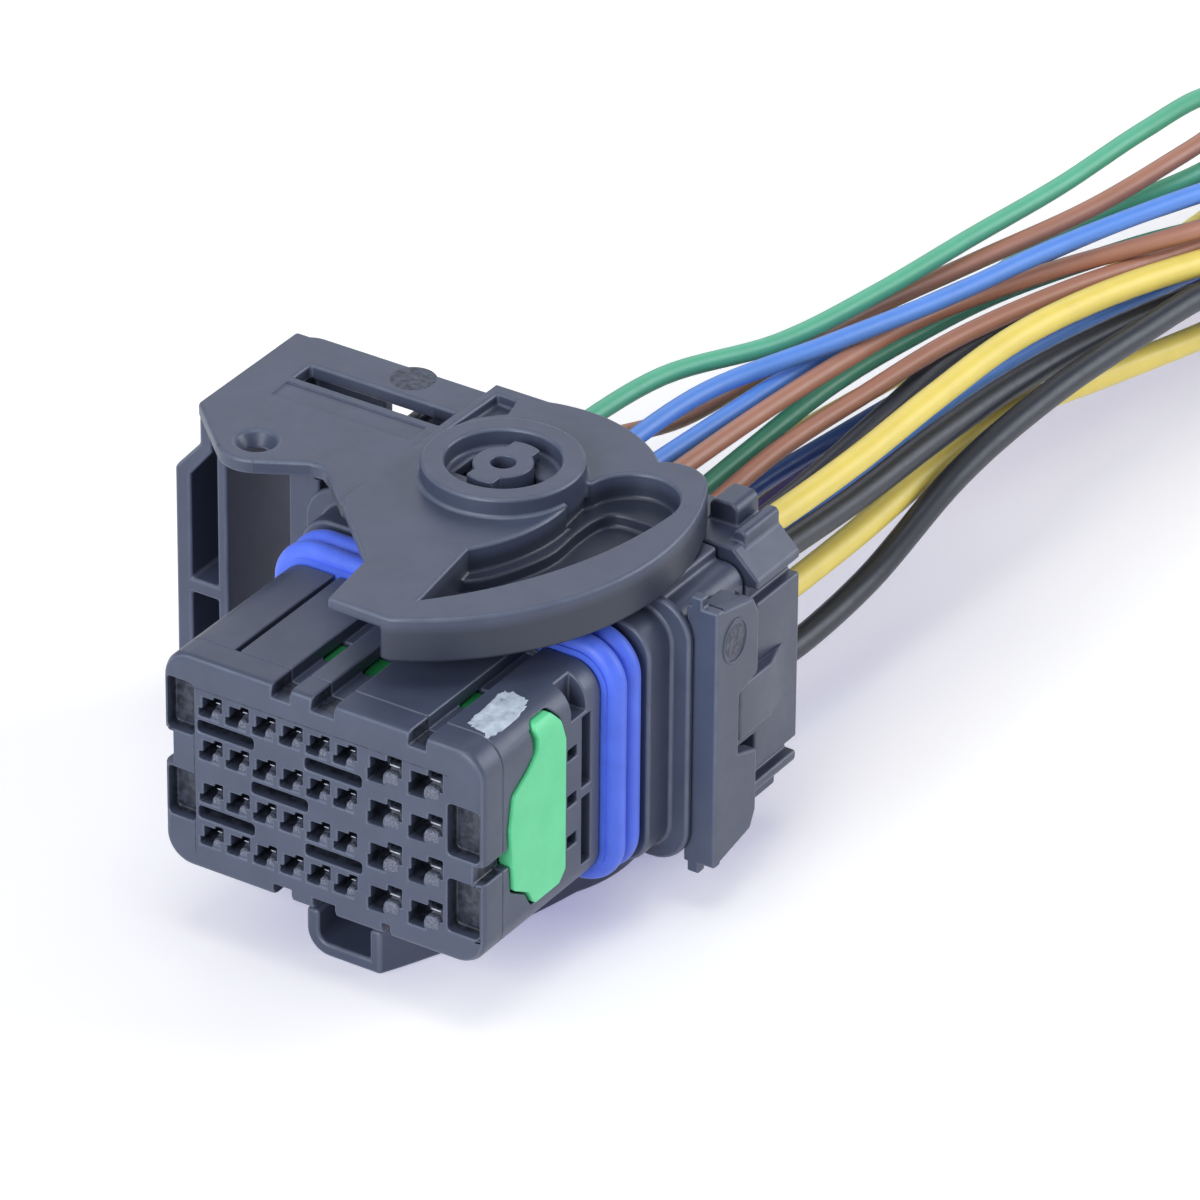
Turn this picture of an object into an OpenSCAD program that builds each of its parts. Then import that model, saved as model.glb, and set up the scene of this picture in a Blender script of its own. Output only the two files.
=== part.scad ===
// Cable plug for an engine control unit, with a turning cam lever and a sliding contact lock.
// Millimetres. X runs across the mating face, Y from that face to the wires, Z up; the face is at y = 0.

/* [Contact grid] */
// Spacing of neighbouring small contacts
small_pitch = 3; // [2.95:0.05:3.05]
// Spacing of neighbouring large contacts
large_pitch = 4.5; // [4.4:0.05:4.55]
// Spacing from the last small to the first large contact
group_gap = 4.4; // [4.3:0.05:4.5]
// Spacing of the contact rows
row_pitch = 4.65; // [4.6:0.05:4.7]
// Sideways offset of the grid on the face
grid_x = -0.6; // [-0.7:0.05:-0.5]
// Upward offset of the grid on the face
grid_z = -0.5; // [-0.6:0.05:-0.4]

/* [Plug body] */
// Width of the plug that enters the header
body_w = 35.6; // [35.4:0.1:36]
// Height of the plug that enters the header
body_h = 23; // [22.8:0.1:23.2]
// Corner radius of the plug
body_r = 3; // [2.8:0.1:3.4]
// Depth of the separate front cover
cover_depth = 3.4; // [3.2:0.1:3.6]
// Rounding of the mating face's edge
face_round = 0.8; // [0.6:0.1:1]
// Depth of the plug from its face to the seal
body_back = 19.6; // [19.4:0.1:20]
// Depth of the keying grooves in the top and bottom
groove_depth = 1.4; // [1.2:0.1:1.5]

/* [Seal and flange] */
// How far the seal's land lies inside the plug's outline
land_inset = 0.8; // [0.7:0.1:0.9]
// Length of the seal along the plug
seal_length = 5.2; // [5:0.1:5.4]
// Wall of the seal between its ribs
seal_wall = 1.25; // [1.2:0.05:1.3]
// Radius of the seal's two ribs
rib_r = 1.15; // [1.1:0.05:1.2]
// Width of the flange
flange_w = 43.1; // [42.9:0.1:43.3]
// Height of the flange
flange_h = 28.4; // [28.4:0.1:28.8]
// Where the rear block ends, measured from the face
block_back = 40; // [39.8:0.1:40.2]
// Length of the rear cap
cap_length = 7.5; // [7.3:0.1:7.8]

/* [Lever] */
// Sideways place of the lever's pivot
pivot_x = -1.5; // [-1.6:0.1:-1.4]
// Place of the lever's pivot behind the face
pivot_y = 32.5; // [32.4:0.1:32.6]
// Radius of the two pivot posts
post_r = 2.9; // [2.7:0.1:3]
// Radial running clearance of the lever on its posts
pin_clearance = 0.05; // [0.03:0.01:0.08]
// Height of the lever's top above the flange
lever_rise = 5; // [4.9:0.1:5.2]
// Thickness of the lever's cam plates
plate_t = 1.4; // [1.3:0.1:1.5]
// Radius of the lever's outer rim
rim_r = 26.9; // [26.7:0.1:27.1]
// Thickness of the lever's skirt
skirt_t = 1.6; // [1.4:0.1:1.8]

/* [Contact lock] */
// How far the contact lock slides out
lock_travel = 1; // [0.8:0.1:1.1]
// Depth of the contact lock's plate
lock_depth = 3.2; // [3:0.1:3.4]
// Clearance around the contact lock
lock_gap = 0.25; // [0.2:0.05:0.3]

/* [Wires] */
// Radius of the thin wires
wire_r = 0.95; // [0.9:0.01:0.95]
// Radius of the thick wires
thick_wire_r = 1.35; // [1.25:0.05:1.35]

/* [Hidden] */
$fn = 48;
cut = 1;
run_gap = 0.3;
seat_gap = 0.05;
black_plastic = [0.08, 0.08, 0.09];
green_plastic = [0.35, 0.85, 0.5];
seal_blue = [0.25, 0.36, 0.86];
mat_orange = [0.75, 0.4, 0.2];
tin = [0.72, 0.72, 0.74];

// Contact grid
rows = 4;
small_count = 6;
large_count = 2;
grid_w = (small_count - 1) * small_pitch + group_gap + (large_count - 1) * large_pitch;
function small_x(c) = grid_x - grid_w / 2 + c * small_pitch;
function large_x(c) = small_x(small_count - 1) + group_gap + c * large_pitch;
function row_z(r) = grid_z + ((rows - 1) / 2 - r) * row_pitch;

// Depths from the face
land_back = body_back + seal_length + 0.4;
step_back = land_back + 3.7;
flange_back = step_back + 0.9;
cap_front = block_back + run_gap;
cap_back = cap_front + cap_length;
mat_depth = 3.6;
mat_front = block_back - mat_depth - 0.2;
wire_start = body_back - 0.1;
wire_exit = 48;

// Plug outline and what follows it
half_w = body_w / 2;
half_h = body_h / 2;
land_w = body_w - 2 * land_inset;
land_h = body_h - 2 * land_inset;
land_r = body_r - land_inset;
step_w = flange_w - 4;
step_h = flange_h - 2.4;
rear_w = flange_w - 2.1;
rear_h = flange_h - 2.4;
deck_top = flange_h / 2;
deck_half = 17.5;
groove_floor = half_h - groove_depth;
side_key = [-2.4, -0.5];
mat_w = 33.4;
mat_h = 20.9;
mat_r = 2;
mat_gap = 0.2;
small_cavity = [2.2, 2.3];
large_cavity = [3, 3];

// Lever levels, above and below
plate_top = deck_top + lever_rise;
plate_under = plate_top - plate_t;
boss_top = plate_under - run_gap;
wing_t = 1.3;
hub_rise = 2;
hub_floor = plate_top - hub_rise;
disc_top = hub_floor - plate_t;
low_boss = disc_top - run_gap;
skirt_edge = deck_top + run_gap;
arm_top = plate_top - 0.6;
arm_t = 1.6;

// Lever plan, drawn about the rim's centre
rim_x = -8.4;
rim_y = 28.9;
rim_end = 29;
rim_end_r = 4;
rim_end_x = rim_x + (rim_r - rim_end_r) * cos(rim_end);
rim_end_y = rim_y + (rim_r - rim_end_r) * sin(rim_end);
mouth_front = 5.1;
mouth_right = 3;
plate_left = -11.75;
plate_corner = [plate_left, 20.7];
plate_toe = [-3.75, 12.9];
plate_back = pivot_y + 14.4;
hub_r = 15;
ring_out = 7.8;
ring_in = 5.5;
bore_r = post_r + pin_clearance;
boss_r = 5.2;
wing_r = 4.1;
wing_w = 3;
handle_left = -36.8;
handle_right = -30.8;
handle_front = 29.2;
handle_back = 45.6;
arm_left = -33.9;
arm_back = 46;
arm_right = pivot_x - boss_r - 0.7;
lobe = [-25.1, 26.2];
lobe_r = 3.8;
slot = [-29.1, -12.6, 38.2, 41];

// Cam pocket in the upper plate, between an inner and an outer arc, with a ledge along the inner one
cam_x = -9.9;
cam_y = 29.7;
cam_r = 16.4;
outer_x = -25.3;
outer_y = 37.1;
outer_r = 40.5;
pocket_tip = [4.4, 10.2];
pocket_heel = [3.1, 19.6];
pocket_end = [10.6, 35.8];
pocket_end_r = 4.55;
pocket_wall = 0.8;
pocket_floor = skirt_edge + 0.6;
ledge_top = plate_under - 1.3;
ledge_edge = [[3.1, 17.9], [5.3, 20.3], [7.5, 26.5], [7.4, 31.5], [7.6, 34.7], [8.7, 36.4], [12.3, 36.6],
  [15.5, 36.3]];

// Lower plate, with a mouth of its own
low_front = 4.2;
low_left = -4.7;
low_corner_r = 2.5;
low_rim_x = -71.8;
low_rim_y = 42.2;
low_rim_r = 84.4;
low_skirt_t = 1.1;

// Contact lock
lock_front = 8.6;
lock_back = lock_front + lock_depth;
lock_left = -15;
head_left = half_w - 1.4;
head_right = half_w + 0.3;
lock_low = -8;
lock_high = 9.8;
lock_head = [[4.9, -5.2], [4.3, 1.5], [4.9, 4.9], [7.4, 6.4], [8.9, 7.7], [9.1, 8.9], [8.6, 10.4],
  [11.7, 10.4], [12.7, 9.2], [13.5, 6.9], [13.5, -7.2], [12.4, -8.3], [8.3, -8.3], [7.3, -6.6]];
head_round = 0.6;

// Straps and the rear cap's tongues and bars
strap_out = 24.05;
strap_in = 22.45;
strap_back = 37.1;
strap_corner = 36.2;
strap_notch = 33.9;
strap_half = 13.9;
tongue_out = 23.2;
tongue_front = 34.2;
tongue_back = 45;
tongue_ramp = 4;
bar_x = 15.6;
bar_z = 14.6;
bar_length = 3.8;
ridge_x = 18.75;
ridge_z = 13.3;

// Stepped contact openings, from the lower left corner of each
small_outline = [[0, 0], [2.25, 0], [2.25, 1], [2.6, 1], [2.6, 2.45], [1.7, 2.45], [1.7, 2.1], [0.45, 2.1],
  [0.45, 0.85], [0, 0.85]];
large_outline = [[0, 0], [3.4, 0], [3.4, 1.3], [3.75, 1.3], [3.75, 3.3], [2.2, 3.3], [2.2, 2.6], [0.3, 2.6],
  [0.3, 1.3], [0, 1.3]];
small_corner = [-1.15, -1.05];
large_corner = [-1.75, -1.57];
small_ramp = 1.25;
large_ramp = 1.9;
ramp_depth = 1.3;

// Keying grooves as left and right edges
top_grooves = [[-5.5, -3.5], [-1.1, 1.4], [9.6, 11.5]];
bottom_grooves = [[-5.5, -3.5], [-1.1, 1.4], [6.6, 7.5]];
thin_slot = [-11.8, -11.3];

// Wires: group, column and row of the cavity, thick or thin, colour
green = [0.15, 0.6, 0.25];
dark_green = [0.1, 0.35, 0.2];
brown = [0.4, 0.22, 0.14];
blue = [0.2, 0.35, 0.75];
navy = [0.1, 0.15, 0.4];
yellow = [0.9, 0.78, 0.15];
dull_yellow = [0.7, 0.6, 0.2];
violet = [0.45, 0.25, 0.55];
black = [0.07, 0.07, 0.08];
wires = [["s", 0, 0, false, green], ["s", 1, 0, false, brown], ["s", 2, 0, false, blue],
  ["s", 3, 0, false, blue], ["s", 4, 0, false, brown], ["s", 4, 1, false, dark_green],
  ["s", 3, 2, false, yellow], ["s", 5, 1, false, brown], ["s", 4, 2, false, navy],
  ["s", 3, 3, false, dull_yellow], ["s", 5, 2, false, violet], ["l", 0, 1, false, black],
  ["l", 0, 2, false, blue], ["l", 1, 0, true, yellow], ["l", 1, 1, true, black],
  ["l", 1, 2, true, yellow], ["l", 1, 3, true, black], ["s", 2, 1, false, green]];
wire_count = len(wires);
function wire_large(i) = wires[i][0] == "l";
function wire_x(i) = wire_large(i) ? large_x(wires[i][1]) : small_x(wires[i][1]);
function wire_z(i) = row_z(wires[i][2]);
function wire_radius(i) = wires[i][3] ? thick_wire_r : wire_r;

// Wire routes: where each wire is, sideways and up, at the same distances behind the face
route_y = [60, 75, 90, 105, 120, 135, 150, 165, 180, 195, 208];
route_x = [
  [-12.5, -11, -7, -5, -3, -1.5, -0.5, -1, -1.5, -2, -2.2],
  [-9.5, -8.5, -7.5, -6.4, -2.2, 2.2, 5, 4, 2.6, 1.6, 1.3],
  [-6.5, -5.8, -1, 3, 6.5, 11.5, 16, 18, 20.2, 21.6, 22],
  [-3.5, -3.2, -2.9, -2.4, 1.4, 5.6, 10.5, 9.8, 8.3, 7, 6.5],
  [-0.6, -0.4, 0.2, 0.5, 5.7, 13.2, 17.5, 17.8, 18.2, 18.4, 18.5],
  [-0.6, -0.9, -0.9, -0.8, 1.2, 7.8, 14, 13.2, 11.2, 9.6, 9.1],
  [-3.8, -4, -3.6, -3, -2, 0, 2, 1.6, 0.8, 0.2, 0],
  [2.4, 2, 3, 4.6, 8.5, 12.4, 16.5, 16.4, 16, 15.4, 15.1],
  [-0.6, -0.8, 0.2, 1.5, 3.5, 6.5, 9.5, 9.2, 8.6, 8, 7.8],
  [-3.6, -3.8, -2.6, -0.5, 1, 3, 5, 4.5, 3.6, 2.8, 2.6],
  [2.4, 2.1, 2.6, 3.5, 5, 7, 9, 8, 6.6, 5.5, 5.2],
  [6.6, 5.8, 4.5, 3.8, 6, 10.4, 15.6, 15, 13.6, 12.2, 11.9],
  [6.8, 6.6, 6.2, 6, 7.4, 10.5, 13, 12.4, 11.4, 10.6, 10.4],
  [11.2, 11.2, 11, 11.2, 12.6, 15.5, 19, 19.6, 20, 20.2, 20.2],
  [11.2, 11, 11.2, 11.5, 12.5, 14.5, 16.2, 16.5, 16.7, 16.8, 16.8],
  [11.4, 11, 10.6, 11.1, 12.4, 13.7, 14, 13.8, 13.7, 13.6, 13.6],
  [12, 12.6, 13.8, 14.9, 16.3, 17.6, 20, 21.5, 22.8, 23.5, 23.6],
  [-6.6, -6, -5.5, -5.5, -3.2, -0.8, 5.2, 5, 4.4, 4, 3.9]];
route_z = [
  [7, 7, 5, 4.2, 4.4, 4, 4, 1.5, -6, -15, -18.2],
  [7, 3.2, 2.4, 1.6, 2, 2.5, 3.4, 1.2, -5.5, -13.5, -16.3],
  [7.2, 7, 6.8, 6.2, 6, 6, 5, 3, -3, -12, -16],
  [6, 5.2, 4.2, 2.2, 2, 2, 1.5, -1, -7, -14, -16.3],
  [6.2, 5.7, 5, 3.2, 3, 3, 2, 0, -5.5, -13, -16],
  [1.8, 1.9, 2, 0.5, -0.4, 0, -1, -3.5, -8.5, -14.5, -16.3],
  [-2.6, -2.4, -3.5, -5, -6.5, -8, -9, -10.5, -14, -17.5, -18.2],
  [2.2, 2.5, 2.3, 2.2, 2, 0.5, -0.5, -3, -8, -14, -16],
  [-2.8, -2.7, -3.3, -4, -4.5, -5, -6, -8.5, -13, -17, -18.2],
  [-7.3, -7, -7, -7.5, -8.5, -10, -12, -13.5, -16, -17.8, -18.2],
  [-2.8, -2.6, -3.5, -4.8, -6, -7.5, -9.5, -11.5, -15, -17.8, -18.2],
  [1.4, 0.6, 0, -0.2, -0.2, -1, -3, -5.5, -9.5, -14.5, -16.1],
  [-2.9, -3, -3, -3.1, -3.5, -4, -5, -7.5, -12.5, -17, -18.2],
  [5.3, 4.6, 4.5, 4.2, 2.6, 0.4, -2.6, -5.5, -11, -16.5, -17.8],
  [1.3, 0.1, 0, -0.7, -2.2, -4, -7, -10, -14.5, -17.3, -17.8],
  [-3.4, -4, -4, -4.2, -6.8, -9.5, -12.5, -14.5, -16.6, -17.6, -17.8],
  [-9.8, -8.6, -3.4, -1.4, -1, -1.8, -6, -9, -14, -17.2, -17.8],
  [1.6, 1, 0, -1.8, -2.2, -1, 0.3, -2, -7.5, -14, -16.3]];
lead_y = [wire_start, 34, wire_exit, wire_exit + 4];
function route(i) = concat([for (y = lead_y) [wire_x(i), y, wire_z(i)]],
  [for (k = [0 : len(route_y) - 1]) [route_x[i][k], route_y[k], route_z[i][k]]]);
function smooth(p, i, t) = let (
  a = p[max(i - 1, 0)], b = p[i], c = p[i + 1], d = p[min(i + 2, len(p) - 1)])
  b + t * (c - a) / 2 + t * t * (a - 2.5 * b + 2 * c - d / 2)
    + t * t * t * (b * 1.5 - c * 1.5 + d / 2 - a / 2);
function wire_path(i) = let (p = route(i)) concat([p[0]],
  [for (k = [1 : len(p) - 2], t = [0, 0.5]) smooth(p, k, t)], [p[len(p) - 1]]);
function curve(p) = concat(
  [for (k = [0 : len(p) - 2], t = [0 : 0.25 : 0.75]) smooth(p, k, t)], [p[len(p) - 1]]);
function unit(v) = v / norm(v);
function tangent(p, i) = unit(p[min(i + 1, len(p) - 1)] - p[max(i - 1, 0)]);

// Building blocks: boxes by their limits and prisms along each axis
module block(x0, x1, y0, y1, z0, z1) {
  translate([x0, y0, z0]) cube([x1 - x0, y1 - y0, z1 - z0]);
}

module prism_x(x0, x1) {
  translate([x0, 0, 0]) rotate([90, 0, 90]) linear_extrude(x1 - x0) children();
}

module prism_y(y0, y1) {
  translate([0, y1, 0]) rotate([90, 0, 0]) linear_extrude(y1 - y0) children();
}

module prism_z(z0, z1) {
  translate([0, 0, z0]) linear_extrude(z1 - z0) children();
}

module rounded_rect(w, h, r) {
  square([w - 2 * r, h], center = true);
  square([w, h - 2 * r], center = true);
  for (sx = [-1, 1], sz = [-1, 1]) translate([sx * (w / 2 - r), sz * (h / 2 - r)]) circle(r);
}

module slab(w, h, r, y0, y1) {
  prism_y(y0, y1) rounded_rect(w, h, r);
}

module upright(x, y, r, z0, z1) {
  translate([x, y, z0]) cylinder(r = r, h = z1 - z0);
}

// Grooves that key the plug in its header, cut from cover and receptacle alike
module keying(y0, y1) {
  for (g = top_grooves) block(g[0], g[1], y0, y1, groove_floor, half_h + cut);
  for (g = bottom_grooves) block(g[0], g[1], y0, y1, -half_h - cut, -groove_floor);
  block(-half_w - cut, -half_w + 1.15, y0, y1, -0.8, 2.85);
}

// Front cover: stepped contact openings with a lead-in ramp, latch slots and side pockets
module opening(outline, corner, x, z, ramp) {
  x0 = x + corner[0];
  z0 = z + corner[1];
  w = outline[4][0];
  back = cover_depth + 2 * cut;
  difference() {
    translate([x0, 0, z0]) prism_y(-cut, cover_depth + cut) polygon(outline);
    prism_x(x0 + w / 2, x0 + w + cut)
      polygon([[0, z0 - cut], [0, z0], [ramp_depth, z0 + ramp], [back, z0 + ramp], [back, z0 - cut]]);
  }
}

module latch_slot(column, row) {
  slot_w = 6.3;
  slot_h = 1.3;
  slot_depth = 3;
  x = (small_x(column) + small_x(column + 1)) / 2 + 0.35;
  z = (row_z(row) + row_z(row + 1)) / 2 + 0.15;
  translate([x, 0, z]) slab(slot_w, slot_h, 0.4, -cut, slot_depth);
}

module side_pocket(x0, x1, z0, z1) {
  pocket_depth = 1.6;
  translate([(x0 + x1) / 2, 0, (z0 + z1) / 2]) slab(x1 - x0, z1 - z0, 0.5, -cut, pocket_depth);
}

module front_cover() {
  pocket_edge = half_w - 0.5;
  color(black_plastic) difference() {
    hull() {
      slab(body_w - 2 * face_round, body_h - 2 * face_round, body_r - face_round, 0, face_round);
      slab(body_w - 0.6 * face_round, body_h - 0.6 * face_round, body_r - 0.3 * face_round,
        0.3 * face_round, face_round);
      slab(body_w, body_h, body_r, face_round, cover_depth);
    }
    for (r = [0 : rows - 1]) {
      for (c = [0 : small_count - 1]) opening(small_outline, small_corner, small_x(c), row_z(r), small_ramp);
      for (c = [0 : large_count - 1]) opening(large_outline, large_corner, large_x(c), row_z(r), large_ramp);
    }
    for (r = [0, 2], c = [0, 4]) latch_slot(c, r);
    latch_slot(2, 1);
    side_pocket(-pocket_edge, -14.2, 3, 8.6);
    side_pocket(-pocket_edge, -14.2, -6.3, -0.8 - run_gap);
    side_pocket(13.9, pocket_edge, -0.1, 5.4);
    side_pocket(13.9, pocket_edge, -8.3, -2.6);
    block(half_w - 1.1, half_w + cut, -cut, cover_depth + cut, side_key[0], side_key[1]);
    keying(-cut, cover_depth + cut);
  }
}

// Receptacle: the plug behind the cover, with contact cavities, lock tunnel, side details and seal land
module cavities(y0, y1) {
  for (r = [0 : rows - 1]) {
    for (c = [0 : small_count - 1]) translate([small_x(c), 0, row_z(r)])
      prism_y(y0, y1) square(small_cavity, center = true);
    for (c = [0 : large_count - 1]) translate([large_x(c), 0, row_z(r)])
      prism_y(y0, y1) square(large_cavity, center = true);
  }
}

module head_outline() {
  offset(r = head_round) offset(r = -2 * head_round) offset(r = head_round) polygon(lock_head);
}

module lock_tunnel() {
  block(lock_left - lock_gap, half_w + cut, lock_front - lock_gap, lock_back + lock_gap,
    lock_low - lock_gap, lock_high + lock_gap);
  prism_x(head_left - lock_gap, half_w + cut) offset(delta = lock_gap) head_outline();
  for (g = concat(top_grooves, [thin_slot]))
    block(g[0], g[1], lock_front - lock_gap, lock_back + lock_gap, lock_high, half_h + cut);
}

module side_details() {
  deep = 1.2;
  block(half_w - deep, half_w + cut, 16.6, 18.1, -0.2, 7.4);
  block(half_w - deep, half_w + cut, 16.6, 18.1, -8.6, -1.35);
  for (z = [4.4, -0.6, -5]) block(half_w - deep, half_w + cut, 14.2, 15.8, z - 0.6, z + 0.6);
  block(half_w - deep, half_w + cut, cover_depth - cut, cover_depth + 1.1, side_key[0], side_key[1]);
  block(half_w - 2, half_w + cut, 14.8, 17.2, 7.9, half_h + cut);
}

module receptacle() {
  color(black_plastic) difference() {
    union() {
      slab(body_w, body_h, body_r, cover_depth, body_back);
      slab(land_w, land_h, land_r, body_back - cut, land_back);
    }
    keying(cover_depth - cut, body_back);
    block(thin_slot[0], thin_slot[1], cover_depth - cut, body_back, groove_floor, half_h + cut);
    cavities(cover_depth - cut, land_back + cut);
    lock_tunnel();
    side_details();
  }
}

// Flange block: step, flange and the deck that carries both pivots, hollow behind for the wire seal
module flange_block() {
  overlap = step_back + run_gap;
  color(black_plastic) difference() {
    union() {
      slab(step_w, step_h, body_r + 0.4, land_back, overlap);
      slab(flange_w, flange_h, body_r + 1, step_back, flange_back);
      slab(rear_w, rear_h, 2, overlap, block_back);
      block(-deck_half, deck_half, overlap, block_back, -deck_top, deck_top);
    }
    cavities(land_back - cut, block_back);
    slab(mat_w + 2 * mat_gap, mat_h + 2 * mat_gap, mat_r + mat_gap, mat_front - mat_gap, block_back + cut);
  }
}

// Straps: a bracket on each side behind the flange, notched for the cap's tongue
module strap() {
  web = flange_back + 1.2;
  web_in = rear_w / 2 + seat_gap;
  color(black_plastic) union() {
    prism_x(strap_in, strap_out) polygon([[flange_back, strap_half], [strap_corner, 12.6],
      [strap_back, 10.8], [strap_back, 4.2], [strap_notch, 3.2], [strap_notch, -3.2], [strap_back, -4.2],
      [strap_back, -10.8], [strap_corner, -12.6], [flange_back, -strap_half]]);
    block(web_in, strap_out, flange_back, web, -strap_half, strap_half);
    for (s = [-1, 1]) {
      block(web_in, strap_in + 0.2, flange_back, strap_corner - 0.5, s * 12.2 - 0.6, s * 12.2 + 0.6);
      block(21, 22.3, flange_back, web, s * 14.2 - 0.8, s * 14.2 + 0.8);
    }
  }
}

// Pivots: a boss on the deck above and below, each with a post and two wings that hold the lever on
module boss(z0, z1) {
  intersection() {
    upright(pivot_x, pivot_y, boss_r, z0, z1);
    block(pivot_x - hub_r, pivot_x + hub_r, step_back, block_back, z0, z1);
  }
}

module wing(z0, z1) {
  translate([pivot_x, pivot_y, 0]) prism_z(z0, z1) intersection() {
    circle(wing_r);
    rotate(87) square([3 * wing_r, wing_w], center = true);
  }
}

module upper_pivot() {
  wing_z = plate_top + run_gap;
  color(black_plastic) difference() {
    union() {
      boss(deck_top, boss_top);
      upright(pivot_x, pivot_y, post_r, boss_top - cut, wing_z + wing_t);
      wing(wing_z, wing_z + wing_t);
    }
    upright(pivot_x, pivot_y, 1.2, plate_top - 1.5, plate_top + hub_rise);
  }
}

module lower_pivot() {
  post_end = run_gap - plate_top;
  color(black_plastic) union() {
    boss(-low_boss, -deck_top);
    upright(pivot_x, pivot_y, post_r, post_end, cut - low_boss);
    wing(post_end, -hub_floor - run_gap);
  }
}

// Contact lock: a pierced plate that slides across behind the cover and bars the contacts
module secondary_lock() {
  small_half = 0.75;
  large_half = 1.2;
  color(green_plastic) difference() {
    union() {
      block(lock_left, head_left + 0.2, lock_front, lock_back, lock_low, lock_high);
      intersection() {
        prism_x(head_left, head_right) head_outline();
        slab(2 * head_right, body_h, body_r, 0, body_back);
      }
    }
    for (r = [0 : rows - 1]) {
      for (c = [0 : small_count - 1])
        block(small_x(c) - small_half - lock_travel, small_x(c) + small_half,
          lock_front - cut, lock_back + cut, row_z(r) - 0.95, row_z(r) + 0.95);
      for (c = [0 : large_count - 1])
        block(large_x(c) - large_half - lock_travel, large_x(c) + large_half,
          lock_front - cut, lock_back + cut, row_z(r) - large_half, row_z(r) + large_half);
    }
  }
}

// Perimeter seal: a soft ring with two round ribs, stretched over the land
module seal_profile() {
  square([seal_wall, seal_length]);
  for (y = [0.27, 0.73]) translate([seal_wall, y * seal_length]) circle(rib_r);
}

module perimeter_seal() {
  w = land_w + 2 * seat_gap;
  h = land_h + 2 * seat_gap;
  r = land_r + seat_gap;
  color(seal_blue) translate([0, body_back + 0.2, 0]) rotate([-90, 0, 0]) {
    for (s = [0, 1]) {
      rotate([0, 0, 180 * s]) translate([w / 2, 0, 0]) rotate([90, 0, 0])
        linear_extrude(h - 2 * r, center = true) seal_profile();
      rotate([0, 0, 90 + 180 * s]) translate([h / 2, 0, 0]) rotate([90, 0, 0])
        linear_extrude(w - 2 * r, center = true) seal_profile();
      rotate([0, 0, 180 * s]) translate([w / 2 - r, h / 2 - r, 0])
        rotate_extrude(angle = 90) translate([r, 0]) seal_profile();
      rotate([0, 0, 180 * s]) translate([r - w / 2, h / 2 - r, 0])
        rotate([0, 0, 90]) rotate_extrude(angle = 90) translate([r, 0]) seal_profile();
    }
  }
}

// Wire seal: a soft mat in the rear block that closes round every wire
module wire_seal() {
  color(mat_orange) difference() {
    slab(mat_w, mat_h, mat_r, mat_front, mat_front + mat_depth);
    for (i = [0 : wire_count - 1]) translate([wire_x(i), 0, wire_z(i)])
      prism_y(mat_front - cut, block_back + cut) circle(wire_radius(i) + 0.02);
  }
}

// Rear cap: holds the wire seal in, latched to the straps by a tongue on each side
module cap_side() {
  arm_in = rear_w / 2 + run_gap;
  arm_out = arm_in + 1;
  block(arm_in, arm_out, tongue_front - 1.2, cap_front + cut, -5, 5);
  prism_z(-2.9, 2.9) polygon([[arm_in, tongue_front], [tongue_out, tongue_front + 1.2],
    [tongue_out, tongue_back - tongue_ramp], [arm_out, tongue_back], [arm_in, tongue_back]]);
  for (s = [-1, 1]) {
    translate([bar_x, 0, s * bar_z]) slab(3.2, 3.6, 0.9, cap_back - bar_length, cap_back);
    translate([ridge_x, 0, s * ridge_z]) slab(1.5, 4, 0.6, cap_front + 1.5, cap_back);
  }
}

module rear_cap() {
  side_x = flange_w / 2 + 0.25;
  side_z = 11.5;
  shoulder_x = 19;
  color(black_plastic) difference() {
    union() {
      prism_y(cap_front, cap_back) polygon([[-side_x, -side_z], [-shoulder_x, -deck_top],
        [shoulder_x, -deck_top], [side_x, -side_z], [side_x, side_z], [shoulder_x, deck_top],
        [-shoulder_x, deck_top], [-side_x, side_z]]);
      cap_side();
      mirror([1, 0, 0]) cap_side();
    }
    for (r = [0 : rows - 1]) {
      for (c = [0 : small_count - 1]) translate([small_x(c), 0, row_z(r)])
        prism_y(cap_front - cut, cap_back + cut) circle(1.25);
      for (c = [0 : large_count - 1]) translate([large_x(c), 0, row_z(r)])
        prism_y(cap_front - cut, cap_back + cut) circle(1.6);
    }
    for (s = [-1, 1], t = [-1, 1])
      block(s * 22 - 1.4, s * 22 + 1.4, cap_front - cut, cap_back + cut, t * 9.8 - 0.75, t * 9.8 + 0.75);
  }
}

// Lever: two cam plates on one hub axis, joined by the handle; the upper one holds the crescent cam pocket
module rim_sector() {
  reach = 2 * rim_r;
  intersection() {
    translate([rim_x, rim_y]) circle(rim_r, $fn = 96);
    polygon([[plate_left, rim_y], plate_corner, plate_toe, [-2.7, mouth_front], [reach, mouth_front],
      [rim_x + reach * cos(rim_end), rim_y + reach * sin(rim_end)], [rim_x, rim_y]]);
  }
}

module crescent(grow) {
  reach = 2 * rim_r;
  intersection() {
    difference() {
      translate([outer_x, outer_y]) circle(outer_r + grow, $fn = 192);
      translate([cam_x, cam_y]) circle(cam_r - grow, $fn = 96);
    }
    translate([-grow, 0]) polygon([pocket_heel, pocket_tip, [pocket_tip[0], 0], [reach, 0],
      [reach, pocket_end[1]], pocket_end, [5, 31]]);
  }
  translate(pocket_end) circle(pocket_end_r + grow);
  translate([-grow, 0]) polygon([[6, 30.8], [5.5, 35.3], [6.1, 36.2], pocket_end]);
}

module cam_pocket() {
  difference() {
    prism_z(skirt_edge, plate_top) crescent(pocket_wall);
    prism_z(ledge_top, plate_top + cut) crescent(0);
    prism_z(pocket_floor, ledge_top + cut) difference() {
      crescent(0);
      polygon(concat(curve(ledge_edge), [[15.5, 45], [-5, 45], [-5, 17.9]]));
    }
  }
}

module keyhole() {
  circle(bore_r);
  square([2 * wing_r + 0.6, wing_w + 0.4], center = true);
}

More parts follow.
